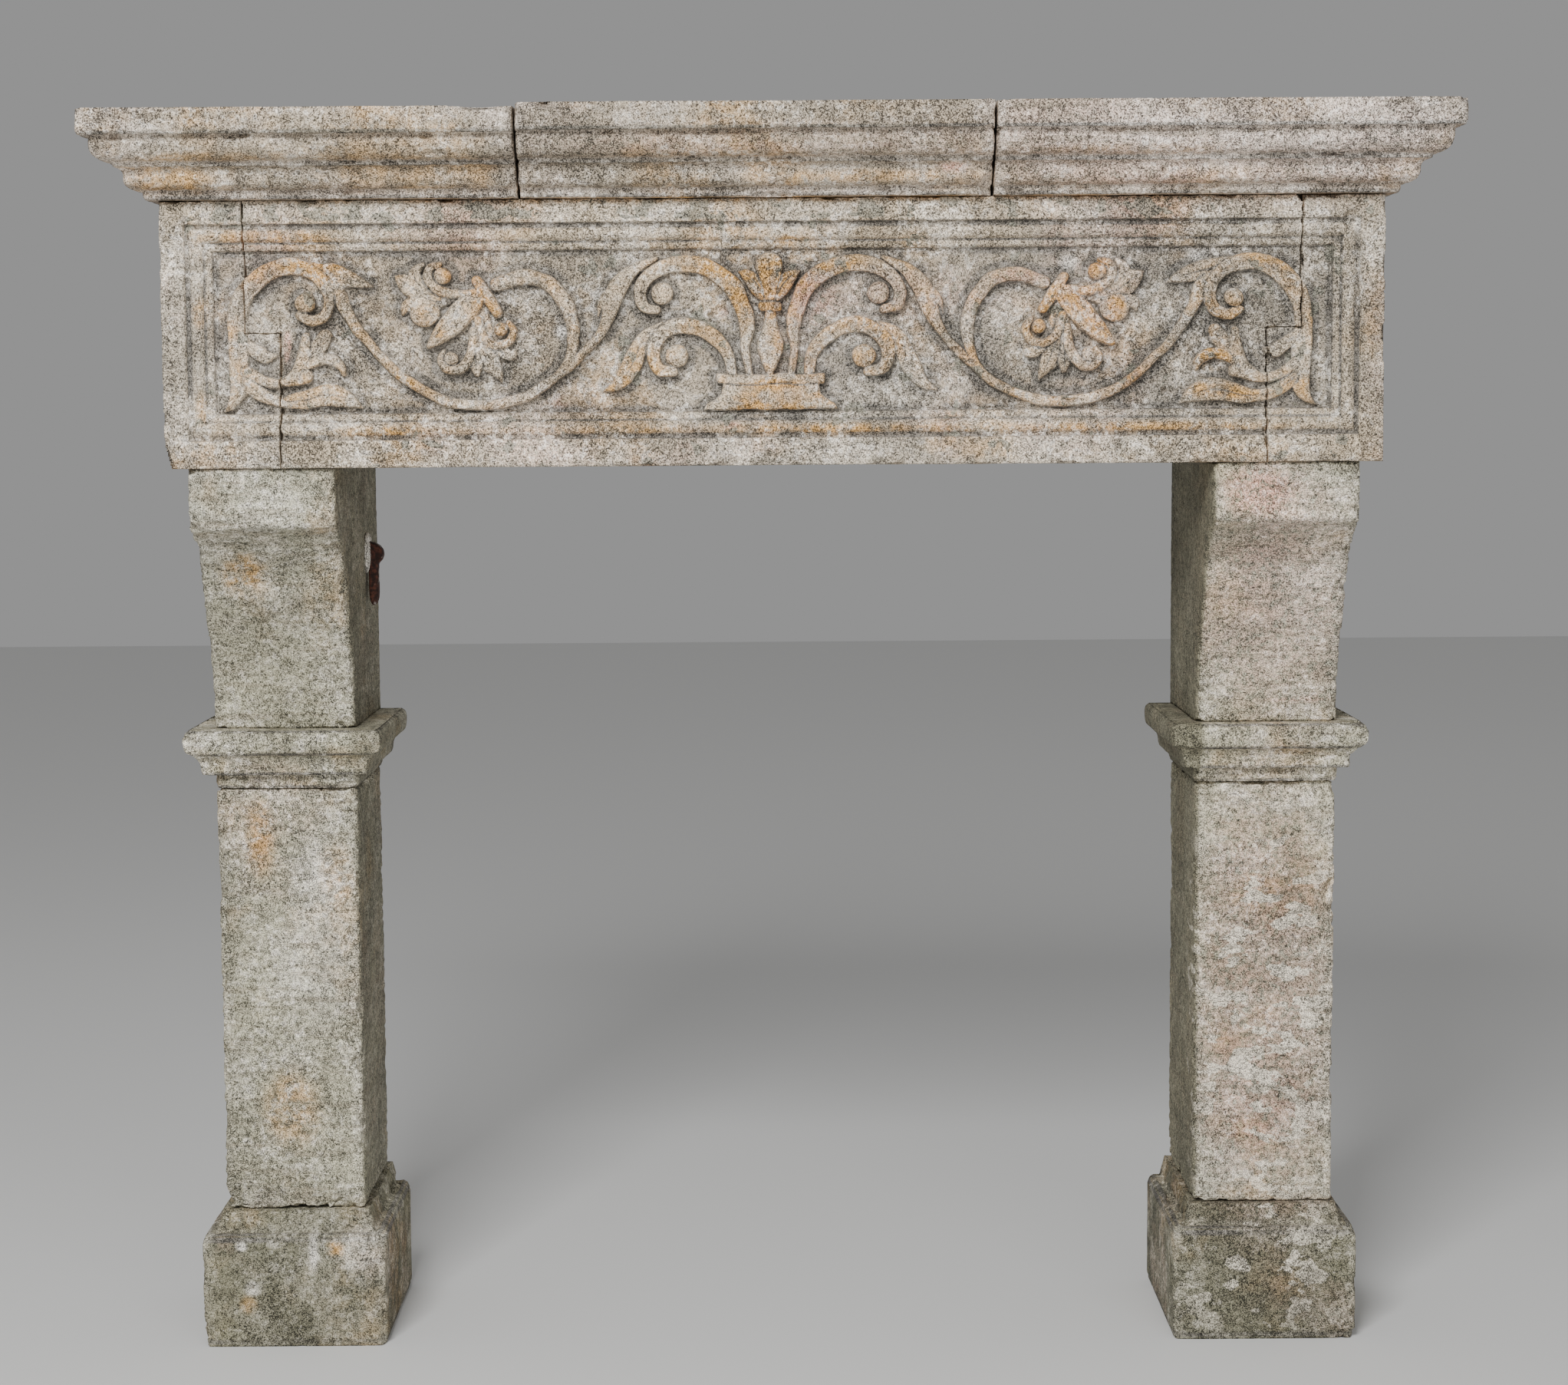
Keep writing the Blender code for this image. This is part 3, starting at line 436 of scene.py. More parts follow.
def stained(obj, family):
    # Writes the stains that fall on this stone as marks for its material, and on the jambs painted shade on
    # the faces towards the opening
    points = coordinates(obj)
    reach = stainDepth["console" if "console" in obj.name else "others"]
    made = {}
    for label, rows in stains.items():
        for *row, strength in rows:
            x, z, wide, tall = (v / 1000 for v in row)
            far = ((points[:, 0] - x) / wide) ** 2 + ((points[:, 2] - z) / tall) ** 2
            near = far < 3
            if near.any():
                near &= points[:, 1] < points[near, 1].min() + reach
                made.setdefault(label, markOf(obj, label))[near] += strength * np.exp(-far[near] ** 2)
    # Painted shade: the jambs' faces towards the opening are darkened
    if family == "jamb":
        within = (np.abs(points[:, 0]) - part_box("shaft_right")[0][0]).clip(0, 1)
        soot = jambs["insideShade"][int(points[0, 0] > 0)] * np.exp(-((within / jambs["insideShadeReach"]) ** 2))
        made["soot"] = made.get("soot", markOf(obj, "soot")) + soot
    for label, values in made.items():
        obj.data.attributes[label].data.foreach_set("value", values.astype(np.float32))
    obj.data.update()
    return obj


def finished(obj, node, slot):
    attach(obj, "root")
    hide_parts(node)
    print("made", obj.name, sum(len(p.vertices) - 2 for p in obj.data.polygons), "triangles")


# Stones that are plan rectangles at every level

# How far wear, and the grooves and painted shade of inner corners, spread from an arris or an inner corner,
# in metres
wear = {
    "arrisReach": 0.008, "creaseReach": 0.0034, "creaseDepth": 0.0024, "cornerTurn": 0.35,
    "capInsets": (0.003, 0.007), "capStart": 0.015, "capReach": 0.007,
}


def ringAround(low, high, front, back, corner, counts):
    # A plan rectangle from the back left round the front to the back right, front corners rounded
    across, deep = counts
    corner = min(corner, (high - low) / 2.01, (back - front) / 2.01)
    side = np.linspace(back, front + corner, deep)
    turn = np.linspace(0, math.pi / 2, 5)[1:-1]
    left = np.column_stack([np.full(deep, low), side])
    along, inward = corner * np.sin(turn), corner * np.cos(turn)
    arcLeft = np.column_stack([low + corner - inward, front + corner - along])
    ahead = np.linspace(low + corner, high - corner, across)
    face = np.column_stack([ahead, np.full(across, front)])
    arcRight = np.column_stack([high - corner + along, front + corner - inward])
    right = np.column_stack([np.full(deep, high), side[::-1]])
    behind = np.linspace(high, low, across // 2)[1:-1]
    rear = np.column_stack([behind, np.full(len(behind), back)])
    return np.vstack([left, arcLeft, face, arcRight, right, rear])


def nearCorner(low, high, front, back, ring, reach):
    # 1 at the two front upright corners and falling off within reach
    distance = np.minimum(np.abs(ring[:, 0] - low), np.abs(ring[:, 0] - high)) + np.abs(ring[:, 1] - front)
    return np.exp(-(distance / reach) ** 2)


def denseProfile(profile, spacing, arris):
    # A profile of (height, overhang) points with extra rows at its corners, how worn each row is, and how
    # deep in an inner corner
    profile = np.asarray(profile, float)
    lengths = np.hypot(*np.diff(profile, axis=0).T)
    along = np.concatenate([[0], np.cumsum(lengths)])
    corners = []
    for i in range(1, len(profile) - 1):
        a, b = profile[i] - profile[i - 1], profile[i + 1] - profile[i]
        turn = (a[0] * b[1] - a[1] * b[0]) / max(np.hypot(*a) * np.hypot(*b), 1e-9)
        if abs(turn) > wear["cornerTurn"]:
            corners.append((along[i], turn))
    places = [*np.linspace(0, along[-1], int(along[-1] / spacing) + 1)]
    for place, _ in corners:
        places = [p for p in places if abs(p - place) > arris * 1.4] + [place - arris, place, place + arris]
    places = np.unique(np.clip(places, 0, along[-1]))
    rows = np.column_stack([np.interp(places, along, profile[:, i]) for i in (0, 1)])
    sharp, crease = np.zeros(len(places)), np.zeros(len(places))
    for place, turn in corners:
        far = np.abs(places - place)
        if turn < 0:
            crease = np.maximum(crease, np.exp(-(far / wear["creaseReach"]) ** 2))
            continue
        sharp = np.maximum(sharp, np.exp(-(far / wear["arrisReach"]) ** 2))
        k = far.argmin()
        rows[k] = 0.4 * rows[k] + 0.3 * (rows[max(k - 1, 0)] + rows[min(k + 1, len(rows) - 1)])
    rows[:, 1] -= wear["creaseDepth"] * crease
    rows[0], rows[-1] = profile[0], profile[-1]
    return rows, sharp, crease


def stoneLoft(node, profile, limits, shape):
    # profile runs from the foot to the top as (height, overhang), and limits gives the plan rectangle for
    # an overhang
    rows, sharp, crease = denseProfile(profile, shape["step"], shape["arris"])
    low, high, front, back = limits(rows[len(rows) // 2][1])
    counts = (max(4, int((high - low) / shape["step"])), max(4, int((back - front) / shape["deepStep"])))
    rings, worn, shadeAndDirt = [], [], []

    def layer(z, box, corner, edge, deep=0.0, upright=1.0):
        ring = ringAround(*box, corner, counts)
        rings.append(np.column_stack([ring, np.full(len(ring), z)]))
        # Painted shade, partly dirt, in inner corners of the profile, none on the back
        shadeAndDirt.append(np.where(ring[:, 1] < back - 0.001, deep, 0.0))
        worn.append(np.maximum(nearCorner(*box, ring, shape["wornReach"]) * upright, edge))

    def cap(z, box, order):
        low, high, front, back = box
        room = min(high - low, back - front) / 2 * 0.94
        insets = [*wear["capInsets"], *np.arange(wear["capStart"], room, shape["capStep"]), room]
        for inset in insets[::order]:
            inner = (low + inset, high - inset, front + inset, back - inset)
            edge = math.exp(-((inset / wear["capReach"]) ** 2))
            layer(z, inner, shape["corner"] * 0.4, edge, upright=edge)

    cap(rows[0][0], limits(rows[0][1]), -1)
    for (z, out), edge, deep in zip(rows, sharp, crease):
        layer(z, limits(out), shape["corner"], edge, deep * shape["creaseShadeAndDirt"])
    cap(rows[-1][0], limits(rows[-1][1]), 1)
    size = len(rings[0])
    points = np.vstack(rings)
    here = np.arange(size)
    after = np.roll(here, -1)
    faces = []
    for i in range(len(rings) - 1):
        a, b = i * size, (i + 1) * size
        faces.append(np.column_stack([a + here, a + after, b + after, b + here]))
    faces = np.vstack(faces).tolist()
    faces.append(here[::-1].tolist())
    faces.append((here + (len(rings) - 1) * size).tolist())
    marks = {"worn": np.concatenate(worn), "shadeAndDirt": np.concatenate(shadeAndDirt)}
    return meshFrom(node + "_stone", points, faces, marks)


def arcPoints(start, step, fall, kind, count=8):
    # Points of a quarter round between (height, overhang) start and the point a step in and a fall down
    z, out = start
    angles = np.linspace(0, math.pi / 2, count + 1)[1:]
    if kind == "ovolo":
        return [(z - fall * math.sin(a), out - step * (1 - math.cos(a))) for a in angles]
    return [(z - fall * (1 - math.cos(a)), out - step * math.sin(a)) for a in angles]


def mouldingProfile(members, top, overhang, height):
    # (height, overhang) from the top down, stretched to the full overhang and height
    place = (0.0, sum(member[1] for member in members))
    points = [place]
    for kind, step, fall in members:
        if kind == "line":
            points.append((place[0] - fall, place[1] - step))
        else:
            points += arcPoints(place, step, fall, kind)
        place = points[-1]
    widest = max(out for _, out in points)
    return [(top + z * height / -place[0], out * overhang / widest) for z, out in points][::-1]


# The jambs

jambs = {
    "arris": 0.0025, "corner": 0.007, "wornReach": 0.016, "creaseShadeAndDirt": 1.0,
    "step": 0.0042, "deepStep": 0.0052, "capStep": 0.02, "shaftSpacing": 0.0047,
    "insideShade": (0.62, 1.3), "insideShadeReach": 0.006,
    "plinthArris": 0.008, "padFoot": 0.015, "padTop": 0.006, "padHeight": 0.032, "consoleBlock": 0.088,
    "collar": {"step": 0.0034}, "console": {"step": 0.0038, "creaseShadeAndDirt": 0.3},
    "collarMembers": [("swell", -7.0, 15.0), ("ovolo", 7.0, 25.0), ("cavetto", 16.0, 26.0),
                      ("line", 0.0, 7.0), ("line", 17.0, 1.0), ("line", 1.0, 21.6), ("line", 2.0, 0.5)],
    "consoleCurve": [(0.84, 0.957), (0.70, 0.897), (0.50, 0.766), (0.43, 0.669), (0.30, 0.536), (0.17, 0.394),
                     (0.056, 0.237), (0.0, 0.0)],
}


def jambLimits(node, overhang=0.0):
    # The plan rectangle of a jamb stone without its overhang, as a function of the overhang
    low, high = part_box(node)

    def limits(out):
        return low[0] + overhang - out, high[0] - overhang + out, low[1] + overhang - out, high[1]

    return limits


def plinthStone(node):
    low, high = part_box(node)
    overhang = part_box(node.replace("plinth", "shaft"))[0][0] - low[0]
    blockTop = high[2] - jambs["padHeight"]
    arris = jambs["plinthArris"]
    profile = [(low[2], overhang - arris / 2), (low[2] + arris, overhang), (blockTop - arris, overhang),
               (blockTop, overhang - arris), (blockTop, jambs["padFoot"]), (high[2], jambs["padTop"])]
    return stoneLoft(node, profile, jambLimits(node, overhang), jambs)


def shaftStone(node):
    low, high = (np.array(c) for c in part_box(node))
    block = meshFrom(node + "_stone", np.zeros((0, 3)), [])
    sizes = {"Size": tuple(high - low), "Middle": tuple((high + low) / 2), "Arris": jambs["corner"],
             "Spacing": jambs["shaftSpacing"], "Worn Reach": jambs["wornReach"]}
    return throughTree(block, dressedTree(), None, sizes)


def collarStone(node):
    low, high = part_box(node)
    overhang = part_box(node.replace("collar", "shaft"))[0][0] - low[0]
    profile = mouldingProfile(jambs["collarMembers"], high[2], overhang, high[2] - low[2])
    return stoneLoft(node, profile, jambLimits(node, overhang), {**jambs, **jambs["collar"]})


def consoleStone(node):
    low, high = (Vector(c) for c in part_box(node))
    projection = (high[1] - low[1]) - (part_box("shaft_left")[1][1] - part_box("shaft_left")[0][1])
    curveHeight = high[2] - low[2] - jambs["consoleBlock"]
    curve = curveThrough(jambs["consoleCurve"], 0.05)
    profile = [(low[2] + curveHeight * share, projection * out) for out, share in curve[::-1]]
    profile += [(low[2] + curveHeight, projection), (high[2], projection)]

    def limits(out):
        return low[0], high[0], low[1] + projection - out, high[1]

    return stoneLoft(node, profile, limits, {**jambs, **jambs["console"]})


# The shelf

shelf = {
    "arris": 0.0022, "corner": 0.010, "wornReach": 0.013, "creaseShadeAndDirt": 1.8,
    "step": 0.0034, "deepStep": 0.0048, "capStep": 0.022,
    "members": [("line", 0.0, 39.0), ("line", 15.6, 0.5), ("line", 0.0, 14.8), ("ovolo", 25.6, 23.5),
                ("line", 0.0, 6.1), ("cavetto", 16.5, 11.3), ("line", 0.0, 9.2), ("ovolo", 23.8, 14.8),
                ("line", 0.0, 12.3), ("line", 20.1, 0.5)],
}


def shelfStone(node):
    low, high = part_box(node)
    overhang = lintelLow[1] - low[1]
    friezeEnd = -blockLow[0]
    profile = mouldingProfile(shelf["members"], high[2], overhang, high[2] - low[2])

    def limits(out):
        left = -friezeEnd - out if node == "cornice_left" else low[0]
        right = friezeEnd + out if node == "cornice_right" else high[0]
        return left, right, lintelLow[1] - out, high[1]

    return stoneLoft(node, profile, limits, shelf)


# The frieze: one relief drawn over the whole front, cut into three stones

friezeFrame = {
    "bandSide": 0.037, "bandTop": 0.035, "bandBottom": 0.0415, "frameWidth": 0.041, "fieldDepth": 0.021,
    "carvingHeight": 0.022, "axis": -0.005, "panelHalf": 842, "panelHeight": 242,
    "steps": [(-1, 0), (0.0, 0.0), (0.02, 0.30), (0.11, 0.40), (0.19, 0.30), (0.29, 0.15), (0.42, 0.11),
              (0.56, 0.20), (0.66, 0.42), (0.70, 0.52), (0.86, 0.60), (0.97, 0.72), (1.0, 1.0), (9, 1.0)],
    "creases": [(0.04, 0.035, 0.0022), (0.68, 0.035, 0.0012), (1.03, 0.04, 0.0020)],
}
sway = []

# Strokes of one half, in units of panelHalf and panelHeight: rise, section, side of the slope, and rows of
# x, height and width
strokes = {
    "upperScroll": (0.80, "band", 1, [
        (31, 52, 13), (37, 95, 16), (35, 125, 24), (41, 155, 28), (58, 188, 30), (88, 211, 28),
        (122, 221, 27), (155, 218, 25), (182, 203, 23), (197, 180, 21), (192, 158, 20), (174, 152, 17),
    ]),
    "lowerScroll": (0.76, "band", 1, [
        (58, 52, 18), (62, 80, 20), (78, 105, 24), (103, 122, 25), (133, 129, 26), (159, 120, 24),
        (175, 101, 23), (178, 80, 22), (168, 62, 21), (148, 59, 18),
    ]),
    "lowerLeaf": (0.62, "leaf", 1, [
        (163, 132, 8), (190, 113, 22), (204, 86, 30), (216, 60, 30), (233, 40, 18), (252, 31, 4),
    ]),
    "leafTip": (0.62, "leaf", 1, [
        (232, 190, 12), (253, 168, 14), (262, 144, 4),
    ]),
    "longStem": (0.66, "stem", 1, [
        (172, 229, 8), (206, 211, 22), (228, 188, 31), (241, 158, 28), (254, 126, 18), (277, 95, 16),
        (308, 66, 16), (342, 39, 17), (385, 19, 18), (440, 11, 19), (498, 19, 18), (552, 49, 18),
        (590, 84, 17), (618, 116, 17), (641, 151, 20), (658, 188, 26), (692, 216, 20),
    ]),
    "ringBranch": (0.70, "stem", 1, [
        (415, 190, 22), (378, 202, 25), (340, 196, 25), (314, 170, 24), (300, 138, 23), (299, 105, 20),
        (308, 75, 16), (330, 48, 12), (362, 26, 8),
    ]),
    "endScroll": (0.80, "band", -1, [
        (829, 4, 4), (816, 14, 16), (806, 35, 29), (806, 75, 31), (808, 130, 31), (802, 165, 32),
        (784, 193, 32), (755, 214, 29), (722, 220, 28), (692, 211, 24), (674, 194, 22), (667, 171, 21),
        (673, 150, 20), (692, 139, 19), (711, 147, 17),
    ]),
    "endLeaf": (0.60, "leaf", 1, [
        (702, 222, 14), (666, 209, 33), (642, 202, 29), (620, 196, 19), (601, 190, 4),
    ]),
    "tailLeaf": (0.66, "leaf", 1, [
        (797, 46, 24), (775, 30, 24), (742, 18, 21), (705, 22, 31), (670, 27, 37), (644, 21, 28),
        (619, 8, 4),
    ]),
    "calyx": (0.70, "stem", 1, [
        (796, 64, 20), (770, 49, 18), (740, 46, 18), (708, 48, 10),
    ]),
    "blade": (0.62, "leaf", 1, [
        (804, 118, 14), (786, 98, 22), (766, 86, 25), (751, 87, 10),
    ]),
    "lostFlowerLobe": (0.80, "stem", 1, [
        (742, 47, 14), (718, 60, 24), (706, 86, 25), (704, 116, 16),
    ]),
    "lostFlowerSide": (0.66, "leaf", 1, [
        (702, 78, 18), (684, 100, 28), (674, 116, 22),
    ]),
    "lostFlowerHood": (0.72, "stem", 1, [
        (708, 64, 12), (688, 79, 19), (667, 81, 20), (651, 70, 16), (647, 59, 10),
    ]),
    "crownBase": (0.50, "leaf", 1, [
        (470, 178, 20), (492, 175, 34), (514, 174, 46), (534, 182, 40), (546, 192, 12),
    ]),
    "flowerCollar": (0.95, "bud", 1, [
        (444, 197, 18), (428, 173, 21), (413, 150, 18),
    ]),
    "bud": (1.00, "bud", 1, [
        (434, 179, 22), (455, 160, 38), (482, 134, 39), (504, 112, 27), (517, 99, 12),
    ]),
    "crownCurl": (0.84, "stem", 1, [
        (444, 180, 14), (480, 177, 18), (505, 186, 19), (517, 201, 18), (513, 217, 16), (499, 222, 12),
    ]),
    "crownLeaf": (0.66, "leaf", 1, [
        (500, 173, 16), (527, 188, 24), (537, 207, 22), (525, 222, 9),
    ]),
    "crownPoint": (0.64, "leaf", 1, [
        (509, 173, 20), (532, 182, 34), (550, 194, 30), (562, 202, 14), (567, 205, 4),
    ]),
    "crownTip": (0.58, "leaf", 1, [
        (530, 170, 16), (550, 160, 22), (556, 149, 8),
    ]),
    "skirt": (0.52, "leaf", 1, [
        (440, 150, 28), (437, 125, 36), (430, 95, 44), (424, 72, 30),
    ]),
    "skirtMiddle": (0.66, "leaf", 1, [
        (444, 122, 14), (446, 95, 22), (447, 72, 25), (446, 58, 12),
    ]),
    "skirtPetal": (0.68, "leaf", 1, [
        (438, 112, 16), (428, 86, 27), (417, 63, 23), (409, 45, 5),
    ]),
    "skirtLobe": (0.62, "leaf", 1, [
        (432, 110, 12), (411, 92, 20), (393, 86, 19), (387, 92, 8),
    ]),
    "skirtCurl": (0.82, "stem", 1, [
        (450, 122, 16), (454, 90, 19), (470, 67, 19), (490, 65, 17), (500, 78, 14), (494, 91, 10),
    ]),
    "sideCurl": (0.82, "stem", 1, [
        (442, 140, 16), (435, 114, 17), (418, 100, 17), (398, 103, 16), (388, 119, 14), (395, 135, 11),
    ]),
    "sideLobe": (0.80, "leaf", 1, [
        (7, 170, 18), (22, 190, 28), (36, 203, 20), (46, 209, 5),
    ]),
}

# Forms on the middle axis: rise, and rows of height and width
axisForms = {
    "palmetteMiddle": (0.96, [(165, 18), (182, 24), (200, 36), (214, 44), (226, 40), (233, 26), (237, 8)]),
    "balusterNeck": (0.80, [(140, 14), (150, 17), (158, 22), (172, 20)]),
    "baluster": (0.92, [(46, 3), (56, 12), (72, 26), (92, 41), (104, 40), (118, 27), (134, 21), (150, 19)]),
    "balusterRing": (0.98, [(149, 30), (153, 36), (160, 37), (165, 31)]),
    "vaseBody": (0.80, [(0, 206), (4, 204), (10, 196), (18, 170), (26, 152), (38, 148), (42, 148)]),
    "vaseSlab": (0.92, [(39, 160), (43, 167), (52, 168), (56, 163)]),
}

# Round knobs of one half: x, height, radius and rise
knobs = {
    "upperEye": (164, 176, 18, 0.86), "lowerEye": (142, 82, 19, 0.86), "endEye": (704, 165, 16, 0.86),
    "crownBall": (495, 205, 15, 0.98), "hoodBall": (523, 152, 24, 0.80), "skirtBall": (484, 80, 12, 0.88),
    "sideBall": (407, 124, 12, 0.88), "lostFlowerBall": (705, 56, 12, 0.80),
}


def sectionHeight(kind, across, edge):
    # The height over a stroke, 0 to 1. across runs from -1 to 1, and a band slopes to its inner side
    far = np.clip(np.abs(across), 0, 1)
    if kind == "band":
        body = np.interp(across, [-1, -0.55, -0.1, 0.05, 0.3, 1], [0.93, 1.0, 0.98, 0.90, 0.76, 0.66])
    elif kind == "leaf":
        body = 0.72 + 0.28 * (1 - far) - 0.20 * np.exp(-((far / 0.13) ** 2))
    elif kind == "bud":
        body = 0.45 + 0.55 * np.sqrt(1 - far**2) - 0.10 * np.exp(-(((far - 0.36) / 0.10) ** 2))
    else:
        body = 0.40 + 0.60 * np.sqrt(1 - far**2)
    side = np.clip((1 - far) / edge, 0, 1)
    return body * side * (2 - side)


def over(relief, block, height):
    # Lays a stroke on the relief, with a fine crease where it lies against what is already there
    here = relief[block]
    crease = np.where((height > 0) & (height < here) & (here - height < 0.0030), 0.0008, 0.0)
    relief[block] = np.maximum(here, height) - crease


def lay(relief, xs, zs, path, rise, kind, inner):
    # One stroke, path being rows of x, z and width
    reach = path[:, 2].max() / 2 + 0.002
    i0, i1 = np.searchsorted(xs[0], [path[:, 0].min() - reach, path[:, 0].max() + reach])
    j0, j1 = np.searchsorted(zs[:, 0], [path[:, 1].min() - reach, path[:, 1].max() + reach])
    block = (slice(max(j0 - 2, 0), j1 + 2), slice(max(i0 - 2, 0), i1 + 2))
    x, z = warped(xs, zs, block)
    nearest = np.zeros(x.shape, int)
    best = np.full(x.shape, 1e9)
    for k, (px, pz, _) in enumerate(path):
        far = (x - px) ** 2 + (z - pz) ** 2
        closer = far < best
        best[closer], nearest[closer] = far[closer], k
    run = np.gradient(path[:, :2], axis=0)
    run /= np.maximum(np.linalg.norm(run, axis=1, keepdims=True), 1e-9)
    dx, dz = x - path[nearest, 0], z - path[nearest, 1]
    along = dx * run[nearest, 0] + dz * run[nearest, 1]
    across = (dx * run[nearest, 1] - dz * run[nearest, 0]) * inner
    atEnd = ((nearest == 0) & (along < 0)) | ((nearest == len(path) - 1) & (along > 0))
    across = np.where(atEnd, np.hypot(across, along) * np.where(across < 0, -1, 1), across)
    half = np.maximum(path[nearest, 2] / 2, 0.0008)
    full = rise * np.minimum(1.0, 0.35 + 0.65 * path[nearest, 2] / 0.013)
    over(relief, block, full * sectionHeight(kind, across / half, np.minimum(0.9, 0.0030 / half)))


def layUpright(relief, xs, zs, axis, rows, rise):
    # A form that is the same on both sides of an upright axis, from rows of height and half width
    low, high = rows[0, 0], rows[-1, 0]
    block = ((zs[:, 0] > low - 0.004) & (zs[:, 0] < high + 0.004)).nonzero()[0]
    block = (slice(block[0], block[-1] + 1), slice(0, xs.shape[1]))
    x, z = warped(xs, zs, block)
    half = np.interp(z, rows[:, 0], rows[:, 1])
    inside = np.minimum(half - np.abs(x - axis), np.minimum(z - low, high - z))
    side = np.clip(inside / 0.003, 0, 1)
    body = 0.86 + 0.14 * np.sqrt(np.clip(1 - (np.abs(x - axis) / np.maximum(half, 0.001)) ** 2, 0, 1))
    over(relief, block, rise * body * side * (2 - side))


def hills(shape, cells, seed):
    # Smooth random hills between -1 and 1 over a grid, about this many cells wide
    rows, cols = (int(s / cells) + 4 for s in shape)
    coarse = np.random.default_rng(seed).uniform(-1, 1, (rows, cols))
    j = np.linspace(1, rows - 3.001, shape[0])
    i = np.linspace(1, cols - 3.001, shape[1])
    a, b = j.astype(int), i.astype(int)
    u, v = (j - a)[:, None], (i - b)[None, :]
    u, v = u * u * (3 - 2 * u), v * v * (3 - 2 * v)
    first = coarse[a][:, b] * (1 - v) + coarse[a][:, b + 1] * v
    second = coarse[a + 1][:, b] * (1 - v) + coarse[a + 1][:, b + 1] * v
    return first * (1 - u) + second * u


def warped(xs, zs, block):
    # The hand of the carver: outlines wander by about a millimetre
    x, z = xs[0, block[1]][None, :], zs[block[0], 0][:, None]
    x, z = x + 0 * z, z + 0 * x
    return x + sway[0][block] * 0.0016, z + sway[1][block] * 0.0016


def fieldBox():
    half = -blockLow[0] - friezeFrame["bandSide"] - friezeFrame["frameWidth"]
    foot = lintelLow[2] + friezeFrame["bandBottom"] + friezeFrame["frameWidth"]
    return half, foot, lintelHigh[2] - friezeFrame["bandTop"] - friezeFrame["frameWidth"]


def reliefGrid(xs, zs):
    # Height of the carving above the field, in metres
    half, foot, top = fieldBox()
    axis = friezeFrame["axis"]
    wide = (half - abs(axis)) / friezeFrame["panelHalf"]
    tall = (top - foot) / friezeFrame["panelHeight"]
    full = friezeFrame["carvingHeight"]
    relief = np.zeros((len(zs), len(xs)))
    xs, zs = xs[None, :], zs[:, None]
    sway[:] = [hills(relief.shape, 14, 3), hills(relief.shape, 14, 4)]
    for side in (-1, 1):
        for rise, kind, inner, points in strokes.values():
            rows = np.array([(axis + side * u * wide, foot + v * tall, w * tall) for u, v, w in points])
            lay(relief, xs, zs, curveThrough(rows, 0.0016), rise * full, kind, side * inner)
        for u, v, radius, rise in knobs.values():
            rows = np.array([(axis + side * u * wide, foot + v * tall, 2 * radius * tall)] * 2)
            rows[1, 0] += 0.0002
            lay(relief, xs, zs, rows, rise * full, "ball", 1)
    for rise, rows in axisForms.values():
        rows = np.array([(foot + v * tall, w * tall / 2) for v, w in rows])
        layUpright(relief, xs, zs, axis, rows, rise * full)
    return relief


def frontDepth(xs, zs, relief):
    # How far the carved face lies behind the plane of the flat band
    half = -blockLow[0]
    x, z = np.meshgrid(xs, zs)
    inset = half - np.abs(x) - friezeFrame["bandSide"]
    inset = np.minimum(inset, z - lintelLow[2] - friezeFrame["bandBottom"])
    inset = np.minimum(inset, lintelHigh[2] - friezeFrame["bandTop"] - z) / friezeFrame["frameWidth"]
    steps = np.array(friezeFrame["steps"], float)
    places = np.linspace(-1, 2, 601)
    shape = np.interp(places, steps[:, 0], steps[:, 1])
    shape = np.convolve(np.pad(shape, 3, mode="edge"), np.ones(7) / 7, mode="valid")
    depth = np.interp(inset, places, shape) * friezeFrame["fieldDepth"]
    for place, wide, deep in friezeFrame["creases"]:
        depth += deep * np.exp(-(((inset - place) / wide) ** 2))
    return depth - relief


def blurred(grid, reach):
    # A box blur over rows and columns
    for axis in (0, 1):
        padded = np.pad(grid, [(reach + 1, reach) if a == axis else (0, 0) for a in (0, 1)], mode="edge")
        total = np.cumsum(padded, axis=axis)
        size, last = 2 * reach + 1, total.shape[axis]
        grid = (np.take(total, range(size, last), axis) - np.take(total, range(last - size), axis)) / size
    return grid


